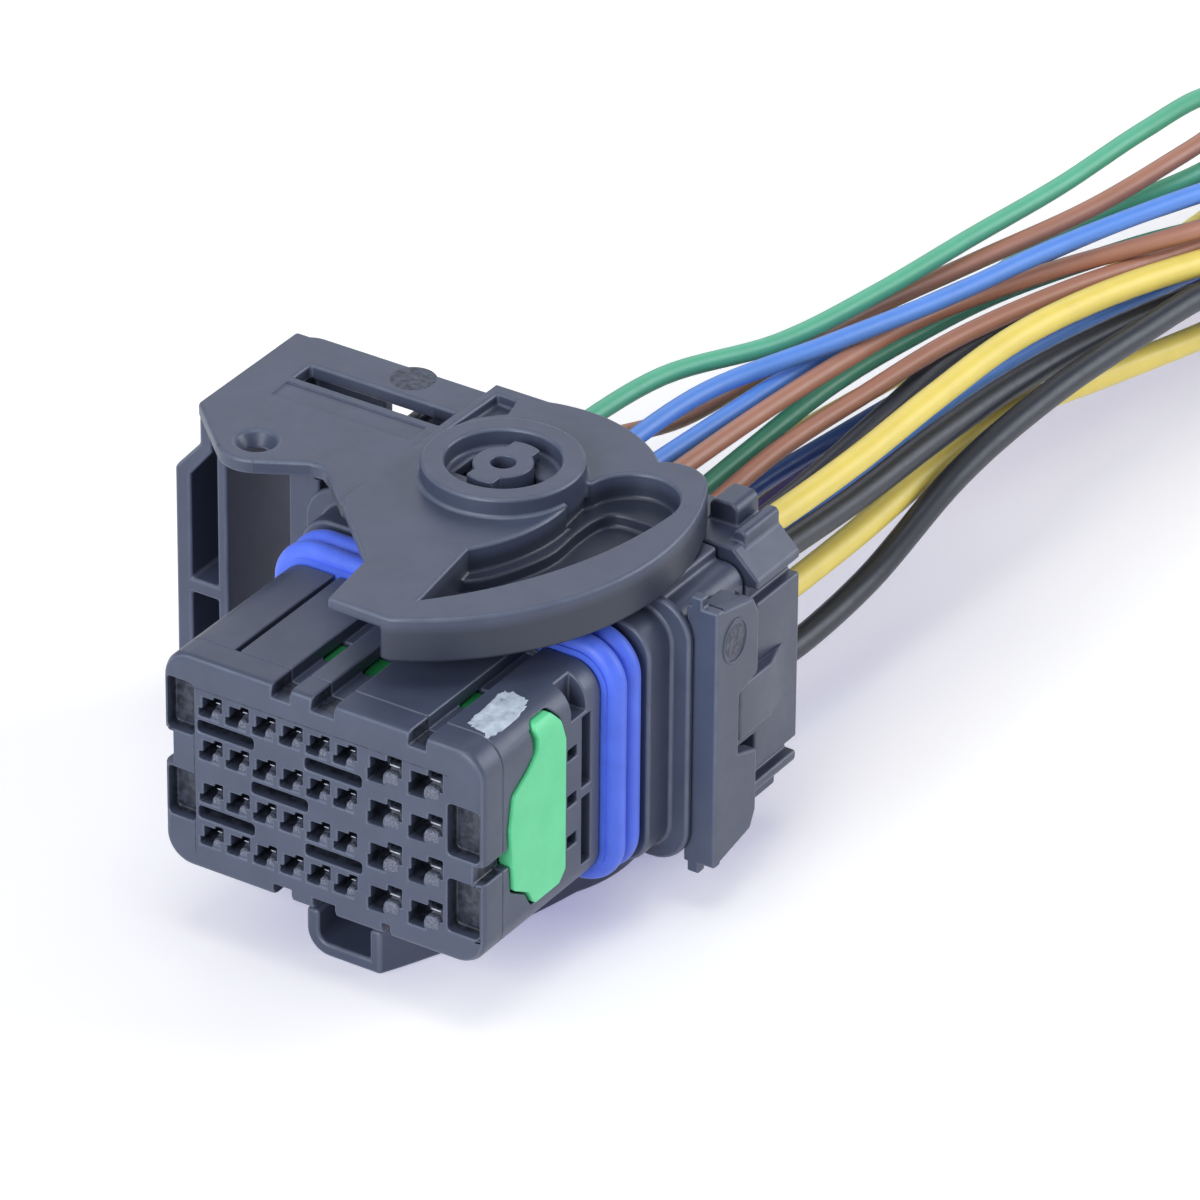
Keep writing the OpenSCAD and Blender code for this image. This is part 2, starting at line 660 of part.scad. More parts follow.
module upper_cam() {
  prism_z(plate_under, plate_top) difference() {
    union() {
      rim_sector();
      translate([rim_end_x, rim_end_y]) circle(rim_end_r);
      intersection() {
        translate([pivot_x, pivot_y]) circle(hub_r);
        translate([plate_left, 0]) square(4 * hub_r);
      }
      translate([plate_left, pivot_y]) square([pivot_x - plate_left, plate_back - pivot_y]);
    }
    crescent(0);
  }
  cam_pocket();
  // skirt along the rim, rounded over its rear end
  prism_z(skirt_edge, plate_top) difference() {
    union() {
      rim_sector();
      translate([rim_end_x, rim_end_y]) circle(rim_end_r);
    }
    translate([rim_x, rim_y]) circle(rim_r - skirt_t, $fn = 96);
    translate([mouth_right - half_w, 0]) square([half_w, rim_y]);
  }
  upright(pivot_x, pivot_y, ring_out, plate_under, plate_top + hub_rise);
}

module arm_outline() {
  corner_r = 3.2;
  polygon([[arm_left, handle_front], [-27.8, 23.5], lobe, [-23.3, 22.8], [-18.6, 25.4], [-17.2, 25.5],
    [-16, 24.7], plate_corner, [arm_right, plate_corner[1]], [arm_right, arm_back],
    [arm_left + corner_r, arm_back], [arm_left, arm_back - corner_r]]);
  translate([arm_left + corner_r, arm_back - corner_r]) circle(corner_r);
  translate(lobe) circle(lobe_r);
}

module upper_arm() {
  wall_low = 12.8;
  wall_w = 11;
  band_y = slot[2] - 1;
  band_w = 3;
  difference() {
    union() {
      prism_z(arm_top - arm_t, arm_top) arm_outline();
      // wall under the rear edge
      prism_z(wall_low, arm_top) intersection() {
        arm_outline();
        translate([arm_left, arm_back - arm_t]) square([wall_w, arm_t]);
      }
    }
    block(slot[0], slot[1], slot[2], slot[3], arm_top - arm_t - cut, arm_top + cut);
    block(slot[0], slot[1] - 0.6, band_y - band_w, band_y, arm_top - 0.2, arm_top + cut);
    translate([lobe[0], lobe[1], arm_top - arm_t - 0.05]) cylinder(r1 = 1, r2 = 2.1, h = arm_t + 0.1);
  }
}

module lower_cam() {
  prism_z(-plate_top, -plate_under) union() {
    intersection() {
      translate([low_rim_x, low_rim_y]) circle(low_rim_r, $fn = 192);
      polygon([plate_corner, [low_left, plate_toe[1]], [low_left + low_corner_r, plate_toe[1]],
        [low_left + low_corner_r, low_front], [20, low_front], [20, 44], [pivot_x, 44]]);
    }
    translate([pivot_x, pivot_y]) circle(hub_r - 1);
  }
  prism_z(-plate_top, -skirt_edge) intersection() {
    translate([low_rim_x, low_rim_y]) difference() {
      circle(low_rim_r, $fn = 192);
      circle(low_rim_r - low_skirt_t, $fn = 192);
    }
    translate([0, low_front]) square([30, 40]);
  }
  // rounded left side of the lower mouth
  prism_y(low_front, plate_toe[1]) translate([low_left + low_corner_r, low_corner_r - plate_top]) {
    translate([-low_corner_r, 0]) square([plate_t, plate_top - low_corner_r - skirt_edge]);
    intersection() {
      difference() {
        circle(low_corner_r);
        circle(low_corner_r - plate_t);
      }
      translate([-low_corner_r, -low_corner_r]) square(low_corner_r);
    }
  }
  upright(pivot_x, pivot_y, ring_out, -plate_top, -disc_top);
}

module handle() {
  flare = 13.9;
  grip = 10.6;
  wall = 1.8;
  shelf = -2;
  difference() {
    prism_y(handle_front, handle_back) polygon([[arm_left, arm_top], [arm_left, flare], [handle_left, grip],
      [handle_left, -grip], [arm_left, -flare], [arm_left, -plate_top], [handle_right, -plate_top],
      [handle_right, arm_top]]);
    for (s = [-1, 1]) prism_y(handle_front - cut, handle_back - wall)
      polygon([[handle_left + wall, shelf + s * 0.8], [handle_left + wall, s * (grip - 0.4)],
        [arm_left + wall - 0.4, s * (flare - 0.6)], [arm_left + wall - 0.4, s * (arm_top - wall)],
        [handle_right - 1.2, s * (arm_top - wall)], [handle_right - 1.2, shelf + s * 0.8]]);
  }
}

module lever() {
  color(black_plastic) difference() {
    union() {
      upper_cam();
      lower_cam();
      upper_arm();
      prism_z(-plate_top, -plate_top + arm_t) arm_outline();
      handle();
    }
    // hub dish above and below, bore and assembly keyholes
    upright(pivot_x, pivot_y, ring_in, plate_top, plate_top + hub_rise + cut);
    upright(pivot_x, pivot_y, ring_in, -plate_top - cut, -hub_floor);
    translate([pivot_x, pivot_y, 0]) prism_z(plate_under - cut, plate_top + cut) keyhole();
    translate([pivot_x, pivot_y, 0]) prism_z(-hub_floor - cut, -disc_top + cut) keyhole();
    // pocket beside the hub
    prism_z(plate_top - 1.2, plate_top + cut)
      polygon([[-10.6, 45.3], [-8.4, 45.2], [-7.8, 42.7], [-10.1, 40.3], [-10.8, 38]]);
  }
}

// Contacts: hollow nose, neck and crimped sleeve that meets its wire
module contact(i) {
  nose = wire_large(i) ? [2, 2] : [1.1, 1.5];
  wall = 0.25;
  nose_front = cover_depth + 0.3;
  nose_back = 12.6;
  crimp_front = 14.5;
  color(tin) translate([wire_x(i), 0, wire_z(i)]) {
    difference() {
      prism_y(nose_front, nose_back) square(nose, center = true);
      prism_y(nose_front - cut, nose_back - 1) square([nose[0] - 2 * wall, nose[1] - 2 * wall], center = true);
    }
    prism_y(nose_back, crimp_front) square([0.8, 0.8], center = true);
    prism_y(crimp_front, wire_start) circle(wire_radius(i));
  }
}

// Wires: one smooth tube each, from the contact's sleeve to the cut end
module wire(i) {
  sides = 8;
  p = wire_path(i);
  last = len(p) - 1;
  points = [for (k = [0 : last], s = [0 : sides - 1])
    let (t = tangent(p, k), u = unit(cross(t, [0, 0, 1])), v = cross(u, t), a = 360 * s / sides)
    p[k] + wire_radius(i) * (cos(a) * u + sin(a) * v)];
  skin = [for (k = [0 : last - 1], s = [0 : sides - 1], half = [0, 1])
    let (a = k * sides + s, b = k * sides + (s + 1) % sides)
    half == 0 ? [a, b, b + sides] : [a, b + sides, a + sides]];
  start = [[for (s = [sides - 1 : -1 : 0]) s]];
  end = [[for (s = [0 : sides - 1]) last * sides + s]];
  color(wires[i][4]) polyhedron(points, concat(start, skin, end));
}

front_cover();
receptacle();
flange_block();
mirror([1, 0, 0]) strap();  // strap_left
strap();  // strap_right
upper_pivot();
lower_pivot();
secondary_lock();
perimeter_seal();
wire_seal();
rear_cap();
lever();
function place(i) = str(i < 9 ? "0" : "", i + 1);
for (i = [0 : wire_count - 1]) contact(i);
for (i = [0 : wire_count - 1]) wire(i);
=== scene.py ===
from math import radians

import bmesh
import bpy
import numpy as np
from mathutils import Matrix, Vector
from mathutils.geometry import delaunay_2d_cdt


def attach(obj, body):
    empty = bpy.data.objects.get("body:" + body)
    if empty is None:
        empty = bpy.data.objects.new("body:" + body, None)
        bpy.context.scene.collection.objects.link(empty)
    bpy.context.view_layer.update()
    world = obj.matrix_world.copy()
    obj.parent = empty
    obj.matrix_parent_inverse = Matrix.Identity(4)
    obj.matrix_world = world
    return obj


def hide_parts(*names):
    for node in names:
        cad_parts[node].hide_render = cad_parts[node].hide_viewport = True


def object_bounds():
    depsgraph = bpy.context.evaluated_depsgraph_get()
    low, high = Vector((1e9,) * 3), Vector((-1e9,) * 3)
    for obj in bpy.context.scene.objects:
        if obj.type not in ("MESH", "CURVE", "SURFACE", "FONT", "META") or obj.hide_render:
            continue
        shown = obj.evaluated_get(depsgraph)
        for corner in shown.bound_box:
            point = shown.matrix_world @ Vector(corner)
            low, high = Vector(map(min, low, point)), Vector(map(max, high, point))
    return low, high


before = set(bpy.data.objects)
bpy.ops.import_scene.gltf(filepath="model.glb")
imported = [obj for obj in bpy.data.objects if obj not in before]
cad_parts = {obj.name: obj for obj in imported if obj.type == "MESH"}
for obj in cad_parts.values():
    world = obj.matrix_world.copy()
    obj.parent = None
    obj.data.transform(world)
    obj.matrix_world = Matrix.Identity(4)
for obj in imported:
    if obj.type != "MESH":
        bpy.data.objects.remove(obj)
cad_box = [list(corner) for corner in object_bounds()]
MM = 0.001

# Camera: it looks down on the mating face from the front right, from far off through a long lens,
# so that the plug shows with hardly any perspective.
camera = bpy.data.objects.new("camera", bpy.data.cameras.new("camera"))
bpy.context.collection.objects.link(camera)
camera.data.lens = 300
camera.data.sensor_width = 36
camera.data.clip_end = 10
camera_right = (0.8388, 0.5445, 0.0075)
camera_up = (-0.2834, 0.4249, 0.8598)
camera_back = (0.4649, -0.7233, 0.5107)
camera_place = (0.44306, -0.64227, 0.48578)
camera_rows = zip(camera_right, camera_up, camera_back, camera_place)
camera.matrix_world = Matrix([*camera_rows, (0, 0, 0, 1)])
bpy.context.scene.camera = camera

# Wires: stranded copper in coloured insulation of two gauges, crimped into contacts in the plug.
# They leave the rear cap straight, cross one another in a loose bundle and come down to the table.
SMALL_COLUMNS, LARGE_COLUMNS, ROWS = 6, 2, 4
SMALL_PITCH, LARGE_PITCH, GROUP_GAP, ROW_PITCH = 3.0, 4.5, 4.4, 4.65
SMALL_W = (SMALL_COLUMNS - 1) * SMALL_PITCH
GRID_W = SMALL_W + GROUP_GAP + (LARGE_COLUMNS - 1) * LARGE_PITCH
GRID_X, GRID_Z = -0.6, -0.5
THIN_R, THICK_R = 0.95, 1.35
STRAND_REACH, STRAND_SWELL = [-1, 0.55, 0.6], [1, 1, 0.7]
STRAIGHT_POINTS, PATH_STEPS, TUBE_SIDES = 4, 8, 20
route_y = [19.5, 34, 48, 52, 60, 75, 90, 105, 120, 135, 150, 165, 180, 195, 208]
insulation = {
    "green": (0.12, 0.52, 0.31), "brown": (0.47, 0.21, 0.135), "blue": (0.115, 0.3, 0.83),
    "dark_green": (0.08, 0.36, 0.21), "yellow": (0.98, 0.76, 0.15), "navy": (0.04, 0.1, 0.34),
    "dull_yellow": (0.68, 0.52, 0.1), "violet": (0.14, 0.09, 0.34), "black": (0.03, 0.034, 0.048)}
# Each row: colour, group, column, row, radius, then x and z behind the straight points.
wires = [
    ("green", "s", 0, 0, THIN_R, [-12.5, -11, -7, -5, -3, -1.5, -0.5, -1, -1.5, -2, -2.2],
     [7, 7, 5, 4.2, 4.4, 4, 4, 1.5, -6, -15, -18.2]),
    ("brown", "s", 1, 0, THIN_R, [-9.5, -8.5, -7.5, -6.4, -2.2, 2.2, 5, 4, 2.6, 1.6, 1.3],
     [7, 3.2, 2.4, 1.6, 2, 2.5, 3.4, 1.2, -5.5, -13.5, -16.3]),
    ("blue", "s", 2, 0, THIN_R, [-6.5, -5.8, -1, 3, 6.5, 11.5, 16, 18, 20.2, 21.6, 22],
     [7.2, 7, 6.8, 6.2, 6, 6, 5, 3, -3, -12, -16]),
    ("blue", "s", 3, 0, THIN_R, [-3.5, -3.2, -2.9, -2.4, 1.4, 5.6, 10.5, 9.8, 8.3, 7, 6.5],
     [6, 5.2, 4.2, 2.2, 2, 2, 1.5, -1, -7, -14, -16.3]),
    ("brown", "s", 4, 0, THIN_R, [-0.6, -0.4, 0.2, 0.5, 5.7, 13.2, 17.5, 17.8, 18.2, 18.4, 18.5],
     [6.2, 5.7, 5, 3.2, 3, 3, 2, 0, -5.5, -13, -16]),
    ("dark_green", "s", 4, 1, THIN_R, [-0.6, -0.9, -0.9, -0.8, 1.2, 7.8, 14, 13.2, 11.2, 9.6, 9.1],
     [1.8, 1.9, 2, 0.5, -0.4, 0, -1, -3.5, -8.5, -14.5, -16.3]),
    ("yellow", "s", 3, 2, THIN_R, [-3.8, -4, -3.6, -3, -2, 0, 2, 1.6, 0.8, 0.2, 0],
     [-2.6, -2.4, -3.5, -5, -6.5, -8, -9, -10.5, -14, -17.5, -18.2]),
    ("brown", "s", 5, 1, THIN_R, [2.4, 2, 3, 4.6, 8.5, 12.4, 16.5, 16.4, 16, 15.4, 15.1],
     [2.2, 2.5, 2.3, 2.2, 2, 0.5, -0.5, -3, -8, -14, -16]),
    ("navy", "s", 4, 2, THIN_R, [-0.6, -0.8, 0.2, 1.5, 3.5, 6.5, 9.5, 9.2, 8.6, 8, 7.8],
     [-2.8, -2.7, -3.3, -4, -4.5, -5, -6, -8.5, -13, -17, -18.2]),
    ("dull_yellow", "s", 3, 3, THIN_R, [-3.6, -3.8, -2.6, -0.5, 1, 3, 5, 4.5, 3.6, 2.8, 2.6],
     [-7.3, -7, -7, -7.5, -8.5, -10, -12, -13.5, -16, -17.8, -18.2]),
    ("violet", "s", 5, 2, THIN_R, [2.4, 2.1, 2.6, 3.5, 5, 7, 9, 8, 6.6, 5.5, 5.2],
     [-2.8, -2.6, -3.5, -4.8, -6, -7.5, -9.5, -11.5, -15, -17.8, -18.2]),
    ("black", "l", 0, 1, THIN_R, [6.6, 5.8, 4.5, 3.8, 6, 10.4, 15.6, 15, 13.6, 12.2, 11.9],
     [1.4, 0.6, 0, -0.2, -0.2, -1, -3, -5.5, -9.5, -14.5, -16.1]),
    ("blue", "l", 0, 2, THIN_R, [6.8, 6.6, 6.2, 6, 7.4, 10.5, 13, 12.4, 11.4, 10.6, 10.4],
     [-2.9, -3, -3, -3.1, -3.5, -4, -5, -7.5, -12.5, -17, -18.2]),
    ("yellow", "l", 1, 0, THICK_R, [11.2, 11.2, 11, 11.2, 12.6, 15.5, 19, 19.6, 20, 20.2, 20.2],
     [5.3, 4.6, 4.5, 4.2, 2.6, 0.4, -2.6, -5.5, -11, -16.5, -17.8]),
    ("black", "l", 1, 1, THICK_R, [11.2, 11, 11.2, 11.5, 12.5, 14.5, 16.2, 16.5, 16.7, 16.8, 16.8],
     [1.3, 0.1, 0, -0.7, -2.2, -4, -7, -10, -14.5, -17.3, -17.8]),
    ("yellow", "l", 1, 2, THICK_R, [11.4, 11, 10.6, 11.1, 12.4, 13.7, 14, 13.8, 13.7, 13.6, 13.6],
     [-3.4, -4, -4, -4.2, -6.8, -9.5, -12.5, -14.5, -16.6, -17.6, -17.8]),
    ("black", "l", 1, 3, THICK_R, [12, 12.6, 13.8, 14.9, 16.3, 17.6, 20, 21.5, 22.8, 23.5, 23.6],
     [-9.8, -8.6, -3.4, -1.4, -1, -1.8, -6, -9, -14, -17.2, -17.8]),
    ("green", "s", 2, 1, THIN_R, [-6.6, -6, -5.5, -5.5, -3.2, -0.8, 5.2, 5, 4.4, 4, 3.9],
     [1.6, 1, 0, -1.8, -2.2, -1, 0.3, -2, -7.5, -14, -16.3])]


def cavity_x(group, column):
    """Column places: small ones a pitch apart from the left, then a gap, then the large ones."""
    first = GRID_X - GRID_W / 2
    if group == "s":
        return first + SMALL_PITCH * column
    return first + SMALL_W + GROUP_GAP + LARGE_PITCH * column


def cavity_z(row):
    """Rows a pitch apart, counted from the top, about the grid's middle."""
    return GRID_Z + ((ROWS - 1) / 2 - row) * ROW_PITCH


def unit(vectors):
    """The vectors at length 1."""
    return vectors / np.linalg.norm(vectors, axis=-1, keepdims=True)


def smooth_path(points, steps):
    """Curve through the points, from b to c with the neighbours a and d:
    b + t(c - a)/2 + t^2(a - 5b/2 + 2c - d/2) + t^3(3b/2 - 3c/2 + d/2 - a/2)."""
    p = np.vstack([points[:1], points, points[-1:]])
    a, b, c, d = p[:-3, None], p[1:-2, None], p[2:-1, None], p[3:, None]
    t = np.linspace(0, 1, steps, endpoint=False)[None, :, None]
    curve = b + t * (c - a) / 2 + t ** 2 * (a - 2.5 * b + 2 * c - d / 2)
    curve = curve + t ** 3 * (1.5 * (b - c) + (d - a) / 2)
    return np.vstack([curve.reshape(-1, 3), points[-1:]])


def tube_rings(path, radius, sides):
    """Circle carried along the path: p_k + r(cos a U_k + sin a V_k), with U level and V = U x T."""
    along = unit(np.gradient(path, axis=0))
    level = unit(np.cross(along, [0, 0, 1]))
    rise = np.cross(level, along)
    a = np.linspace(0, 2 * np.pi, sides, endpoint=False)[:, None]
    return path[:, None] + radius * (np.cos(a) * level[:, None] + np.sin(a) * rise[:, None])


def surface(name, grids, capped=False):
    """Mesh of one or more grids of points: row k joined to row k + 1, each row closed on itself,
    and the first and last row capped where that is asked for."""
    grids = grids.reshape(-1, *grids.shape[-3:])
    copies, rows, columns = grids.shape[:3]
    point = np.arange(copies * rows * columns).reshape(copies, rows, columns)
    around = np.concatenate([point, point[..., :1]], axis=2)
    faces = np.stack([around[:, :-1, :-1], around[:, :-1, 1:], around[:, 1:, 1:],
                      around[:, 1:, :-1]], axis=-1).reshape(-1, 4).tolist()
    sides = len(faces)
    if capped:
        faces += point[:, 0, ::-1].tolist() + point[:, -1].tolist()
    mesh = bpy.data.meshes.new(name)
    mesh.from_pydata(grids.reshape(-1, 3).tolist(), [], faces)
    uv = np.stack(np.broadcast_arrays(np.arange(rows)[:, None] / rows,
                                      np.arange(columns) / columns), axis=-1)
    uv = np.tile(uv.reshape(-1, 2), (copies, 1))
    corners = np.empty(len(mesh.loops), dtype=np.int32)
    mesh.loops.foreach_get("vertex_index", corners)
    mesh.uv_layers.new(name="UVMap").data.foreach_set("uv", uv[corners].ravel())
    mesh.polygons.foreach_set("use_smooth", np.arange(len(faces)) < sides)
    mesh.update()
    piece = bpy.data.objects.new(name, mesh)
    bpy.context.collection.objects.link(piece)
    return piece


def shader(name):
    """A new node material, its node tree and its principled shader."""
    material = bpy.data.materials.new(name)
    material.use_nodes = True
    return material, material.node_tree, material.node_tree.nodes["Principled BSDF"]


def object_place(tree):
    """The piece's own coordinates in metres, which stay with it when it moves."""
    return tree.nodes.new("ShaderNodeTexCoord").outputs["Object"]


def noise(tree, place, scale, detail=3.0):
    """A noise texture's value at a place, with so many features per metre."""
    texture = tree.nodes.new("ShaderNodeTexNoise")
    texture.inputs["Scale"].default_value = scale
    texture.inputs["Detail"].default_value = detail
    tree.links.new(place, texture.inputs["Vector"])
    return texture.outputs["Fac"]


def ramp(tree, value, stops):
    """A value's colour on a ramp of (position, colour) stops."""
    scale = tree.nodes.new("ShaderNodeValToRGB")
    while len(scale.color_ramp.elements) < len(stops):
        scale.color_ramp.elements.new(0.5)
    for element, (position, colour) in zip(scale.color_ramp.elements, stops):
        element.position = position
        element.color = (*colour, 1)
    tree.links.new(value, scale.inputs["Fac"])
    return scale.outputs["Color"]


def span(tree, value, low, high, start=0.0, end=1.0):
    """Maps a value from the span start to end to the span low to high, and holds it there."""
    remap = tree.nodes.new("ShaderNodeMapRange")
    limits = {"From Min": start, "From Max": end, "To Min": low, "To Max": high}
    for socket, limit in limits.items():
        remap.inputs[socket].default_value = limit
    tree.links.new(value, remap.inputs["Value"])
    return remap.outputs["Result"]


def bump(tree, height, depth, strength=1.0):
    """The normals of a bump of the given depth in metres."""
    relief = tree.nodes.new("ShaderNodeBump")
    relief.inputs["Strength"].default_value = strength
    relief.inputs["Distance"].default_value = depth
    tree.links.new(height, relief.inputs["Height"])
    return relief.outputs["Normal"]


def dress(tree, skin, colour, roughness, normal=None):
    """Joins a shader's colour, roughness and, where there is one, normal to their sources."""
    for socket, source in (("Base Color", colour), ("Roughness", roughness), ("Normal", normal)):
        if source is not None:
            tree.links.new(source, skin.inputs[socket])


def wire_insulation(name, colour):
    """Satin extruded insulation: faint mottling, slow gloss changes and a fine skin."""
    material, tree, skin = shader("insulation_" + name)
    place = object_place(tree)
    deep = tuple(0.92 * c for c in colour)
    dress(tree, skin,
          ramp(tree, noise(tree, place, scale=260), [(0.3, deep), (0.7, colour)]),
          span(tree, noise(tree, place, scale=900), low=0.33, high=0.5),
          bump(tree, noise(tree, place, scale=2600), depth=0.03 * MM, strength=0.5))
    return material


def strand_rings(path, radius):
    """Seven straight strands at the cut end, one in the middle and six round it, each a circle
    carried outwards from inside the insulation and narrowed at its tip."""
    ring_r, strand_r = 0.44 * radius, 0.2 * radius
    out = unit(path[-1] - path[-2])
    level = unit(np.cross(out, [0, 0, 1]))
    rise = np.cross(level, out)
    turn = np.append(0, np.arange(6) * np.pi / 3)[:, None]
    spread = ring_r * np.append(0, np.ones(6))[:, None]
    middle = path[-1] + spread * (np.cos(turn) * level + np.sin(turn) * rise)
    a = np.linspace(0, 2 * np.pi, 10, endpoint=False)[:, None]
    circle = strand_r * (np.cos(a) * level + np.sin(a) * rise)
    reach = np.array(STRAND_REACH)[:, None, None] * MM * out
    shrink = np.array(STRAND_SWELL)[:, None, None]
    return middle[:, None, None] + reach + shrink * circle


def bare_copper(name):
    """Drawn copper strands, dulled unevenly by air."""
    material, tree, skin = shader(name)
    tarnish = noise(tree, object_place(tree), scale=2400)
    dress(tree, skin,
          ramp(tree, tarnish, [(0.3, (0.62, 0.27, 0.14)), (0.7, (0.82, 0.42, 0.25))]),
          span(tree, tarnish, low=0.25, high=0.45))
    skin.inputs["Metallic"].default_value = 1
    return material


insulations = {name: wire_insulation(name, colour) for name, colour in insulation.items()}
copper = bare_copper("bare_copper")
for number, (colour, group, column, row, radius, xs, zs) in enumerate(wires, 1):
    straight_x = [cavity_x(group, column)] * STRAIGHT_POINTS
    straight_z = [cavity_z(row)] * STRAIGHT_POINTS
    route = np.column_stack([straight_x + xs, route_y, straight_z + zs]) * MM
    path = smooth_path(route, PATH_STEPS)
    piece = surface(f"wire_{number:02d}_insulation", tube_rings(path, radius * MM, TUBE_SIDES),
                    capped=True)
    piece.data.materials.append(insulations[colour])
    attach(piece, "housing")
    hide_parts(f"wire_{number:02d}")
    strands = surface(f"wire_{number:02d}_strands", strand_rings(path, radius * MM), capped=True)
    strands.data.materials.append(copper)
    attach(strands, "housing")


# Black mouldings: glass-filled nylon with a fine spark-eroded texture and softened edges.
# The receptacle, flange, straps and pivots are one shot and the rear cap is another, clipped on;
# the rounding that the mould gives to their edges is put on here.
NYLON_DEEP, NYLON_PALE = (0.055, 0.067, 0.109), (0.069, 0.083, 0.131)
# Colour of the painted highlight on rounded edges.
NYLON_EDGE_HIGHLIGHT = (0.15, 0.17, 0.23)
FLAT_ANGLE, SHARP_ANGLE, LEAN_ANGLE = radians(0.5), radians(40), radians(50)
ROUNDING_SHARE = 0.42
TINY = 1e-15


def maths(tree, operation, *values):
    """A maths step on values that are numbers or other steps' outputs."""
    step = tree.nodes.new("ShaderNodeMath")
    step.operation = operation
    for socket, value in zip(step.inputs, values):
        if isinstance(value, bpy.types.NodeSocket):
            tree.links.new(value, socket)
        else:
            socket.default_value = value
    return step.outputs["Value"]


def blend(tree, factor, one, other):
    """A mix by a factor of two colours, each a plain colour or an output."""
    mix = tree.nodes.new("ShaderNodeMix")
    mix.data_type = "RGBA"
    tree.links.new(factor, mix.inputs["Factor"])
    for socket, colour in (("A", one), ("B", other)):
        if isinstance(colour, bpy.types.NodeSocket):
            tree.links.new(colour, mix.inputs[socket])
        else:
            mix.inputs[socket].default_value = (*colour, 1)
    return mix.outputs["Result"]


def edge_highlit_nylon(tree, place):
    """Cloudy charcoal with a painted highlight that makes rounded edges unevenly paler, where
    the points' edge attribute is 1.
    """
    cloud = ramp(tree, noise(tree, place, scale=190), [(0.3, NYLON_DEEP), (0.75, NYLON_PALE)])
    edges = tree.nodes.new("ShaderNodeAttribute")
    edges.attribute_name = "painted_edge_highlight"
    uneven = span(tree, noise(tree, place, scale=420), low=0.1, high=0.9)
    # Painted highlight on the rounded edges, uneven in strength.
    highlight_mask = maths(tree, "MULTIPLY", edges.outputs["Fac"], uneven)
    return blend(tree, highlight_mask, cloud, NYLON_EDGE_HIGHLIGHT)


def texture_nylon(tree, skin, place, colour):
    """Joins a colour to a shader, with the mouldings' cloudy gloss and fine grain."""
    gloss = span(tree, noise(tree, place, scale=700), low=0.34, high=0.46)
    grain = bump(tree, noise(tree, place, scale=5200), depth=0.04 * MM, strength=0.35)
    dress(tree, skin, colour, gloss, grain)


def black_nylon(name):
    """Charcoal plastic: fine grain bump, cloudy gloss and edges made pale as a painted highlight.
    """
    material, tree, skin = shader(name)
    place = object_place(tree)
    texture_nylon(tree, skin, place, edge_highlit_nylon(tree, place))
    return material


def patches(shape, angle):
    """Numbers the faces: two share a number where they meet at less than the angle, directly or
    in steps."""
    number = {}
    for seed in shape.faces:
        if seed in number:
            continue
        reached, count = [seed], len(number)
        number[seed] = count
        while reached:
            for side in reached.pop().edges:
                if side.calc_face_angle(np.pi) < angle:
                    fresh = [face for face in side.link_faces if face not in number]
                    number.update(dict.fromkeys(fresh, count))
                    reached += fresh
    return number


def weigh_edges(shape, edge):
    """Marks flat faces, and gives each sharp edge its share of the full rounding. It takes at most
    0.42 of the narrower face beside it, where breadth = 2 area / length of sharp outline."""
    weights = shape.edges.layers.float.new("bevel_weight_edge")
    flat = shape.faces.layers.int.new("flat")
    for face, number in patches(shape, FLAT_ANGLE).items():
        face[flat] = number
    smooth = patches(shape, SHARP_ANGLE)
    sharp = [side for side in shape.edges if side.calc_face_angle(0) >= SHARP_ANGLE]
    area, outline = {}, {}
    for face, number in smooth.items():
        area[number] = area.get(number, 0) + face.calc_area()
    for side in sharp:
        for face in side.link_faces:
            outline[smooth[face]] = outline.get(smooth[face], 0) + side.calc_length()
    for side in sharp:
        beside = [smooth[face] for face in side.link_faces]
        breadth = min(2 * area[number] / outline[number] for number in beside)
        side[weights] = min(1, ROUNDING_SHARE * breadth / edge)


def refill_flats(shape):
    """Fills each flat face anew from its outline and holes, because the rounding tangles a face
    with holes. Of a plane triangulation that keeps every rim edge, the triangles stay whose middle
    is inside: a line from there to the far left crosses the rim an odd number of times."""
    flat = shape.faces.layers.int["flat"]
    groups = {}
    for face in shape.faces:
        if face.material_index == 0:
            groups.setdefault(face[flat], []).append(face)
    for faces in groups.values():
        if len(faces) == 1 and len(faces[0].verts) < 5:
            continue
        inside = set(faces)
        rim = [side for face in faces for side in face.edges
               if sum(beside in inside for beside in side.link_faces) == 1]
        corners = list(dict.fromkeys(vert for side in rim for vert in side.verts))
        index = {vert: i for i, vert in enumerate(corners)}
        biggest = max(faces, key=lambda face: face.calc_area())
        across = biggest.normal.orthogonal().normalized()
        up = biggest.normal.cross(across)
        plane = [Vector((vert.co.dot(across), vert.co.dot(up))) / MM for vert in corners]
        lines = [(index[side.verts[0]], index[side.verts[1]]) for side in rim]
        places, _, triangles, source, _, _ = delaunay_2d_cdt(plane, lines, [], 1, 1e-5)
        triangles = np.array(triangles)
        middle = np.array(places)[triangles].mean(axis=1)[:, None]
        a, b = np.array(plane)[np.array(lines)].transpose(1, 0, 2)
        spans = (a[:, 1] > middle[..., 1]) != (b[:, 1] > middle[..., 1])
        slope = (b[:, 0] - a[:, 0]) / np.where(b[:, 1] == a[:, 1], 1, b[:, 1] - a[:, 1])
        left = a[:, 0] + slope * (middle[..., 1] - a[:, 1]) < middle[..., 0]
        kept = (spans & left).sum(axis=1) % 2 == 1
        height = biggest.normal * biggest.verts[0].co.dot(biggest.normal)
        bmesh.ops.delete(shape, geom=faces, context="FACES")
        verts = []
        for place, old in zip(places, source):
            spot = height + MM * (across * place[0] + up * place[1])
            verts.append(corners[old[0]] if old else shape.verts.new(spot))
        for triangle in triangles[kept].tolist():
            if shape.faces.get([verts[i] for i in triangle]) is None:
                shape.faces.new([verts[i] for i in triangle])


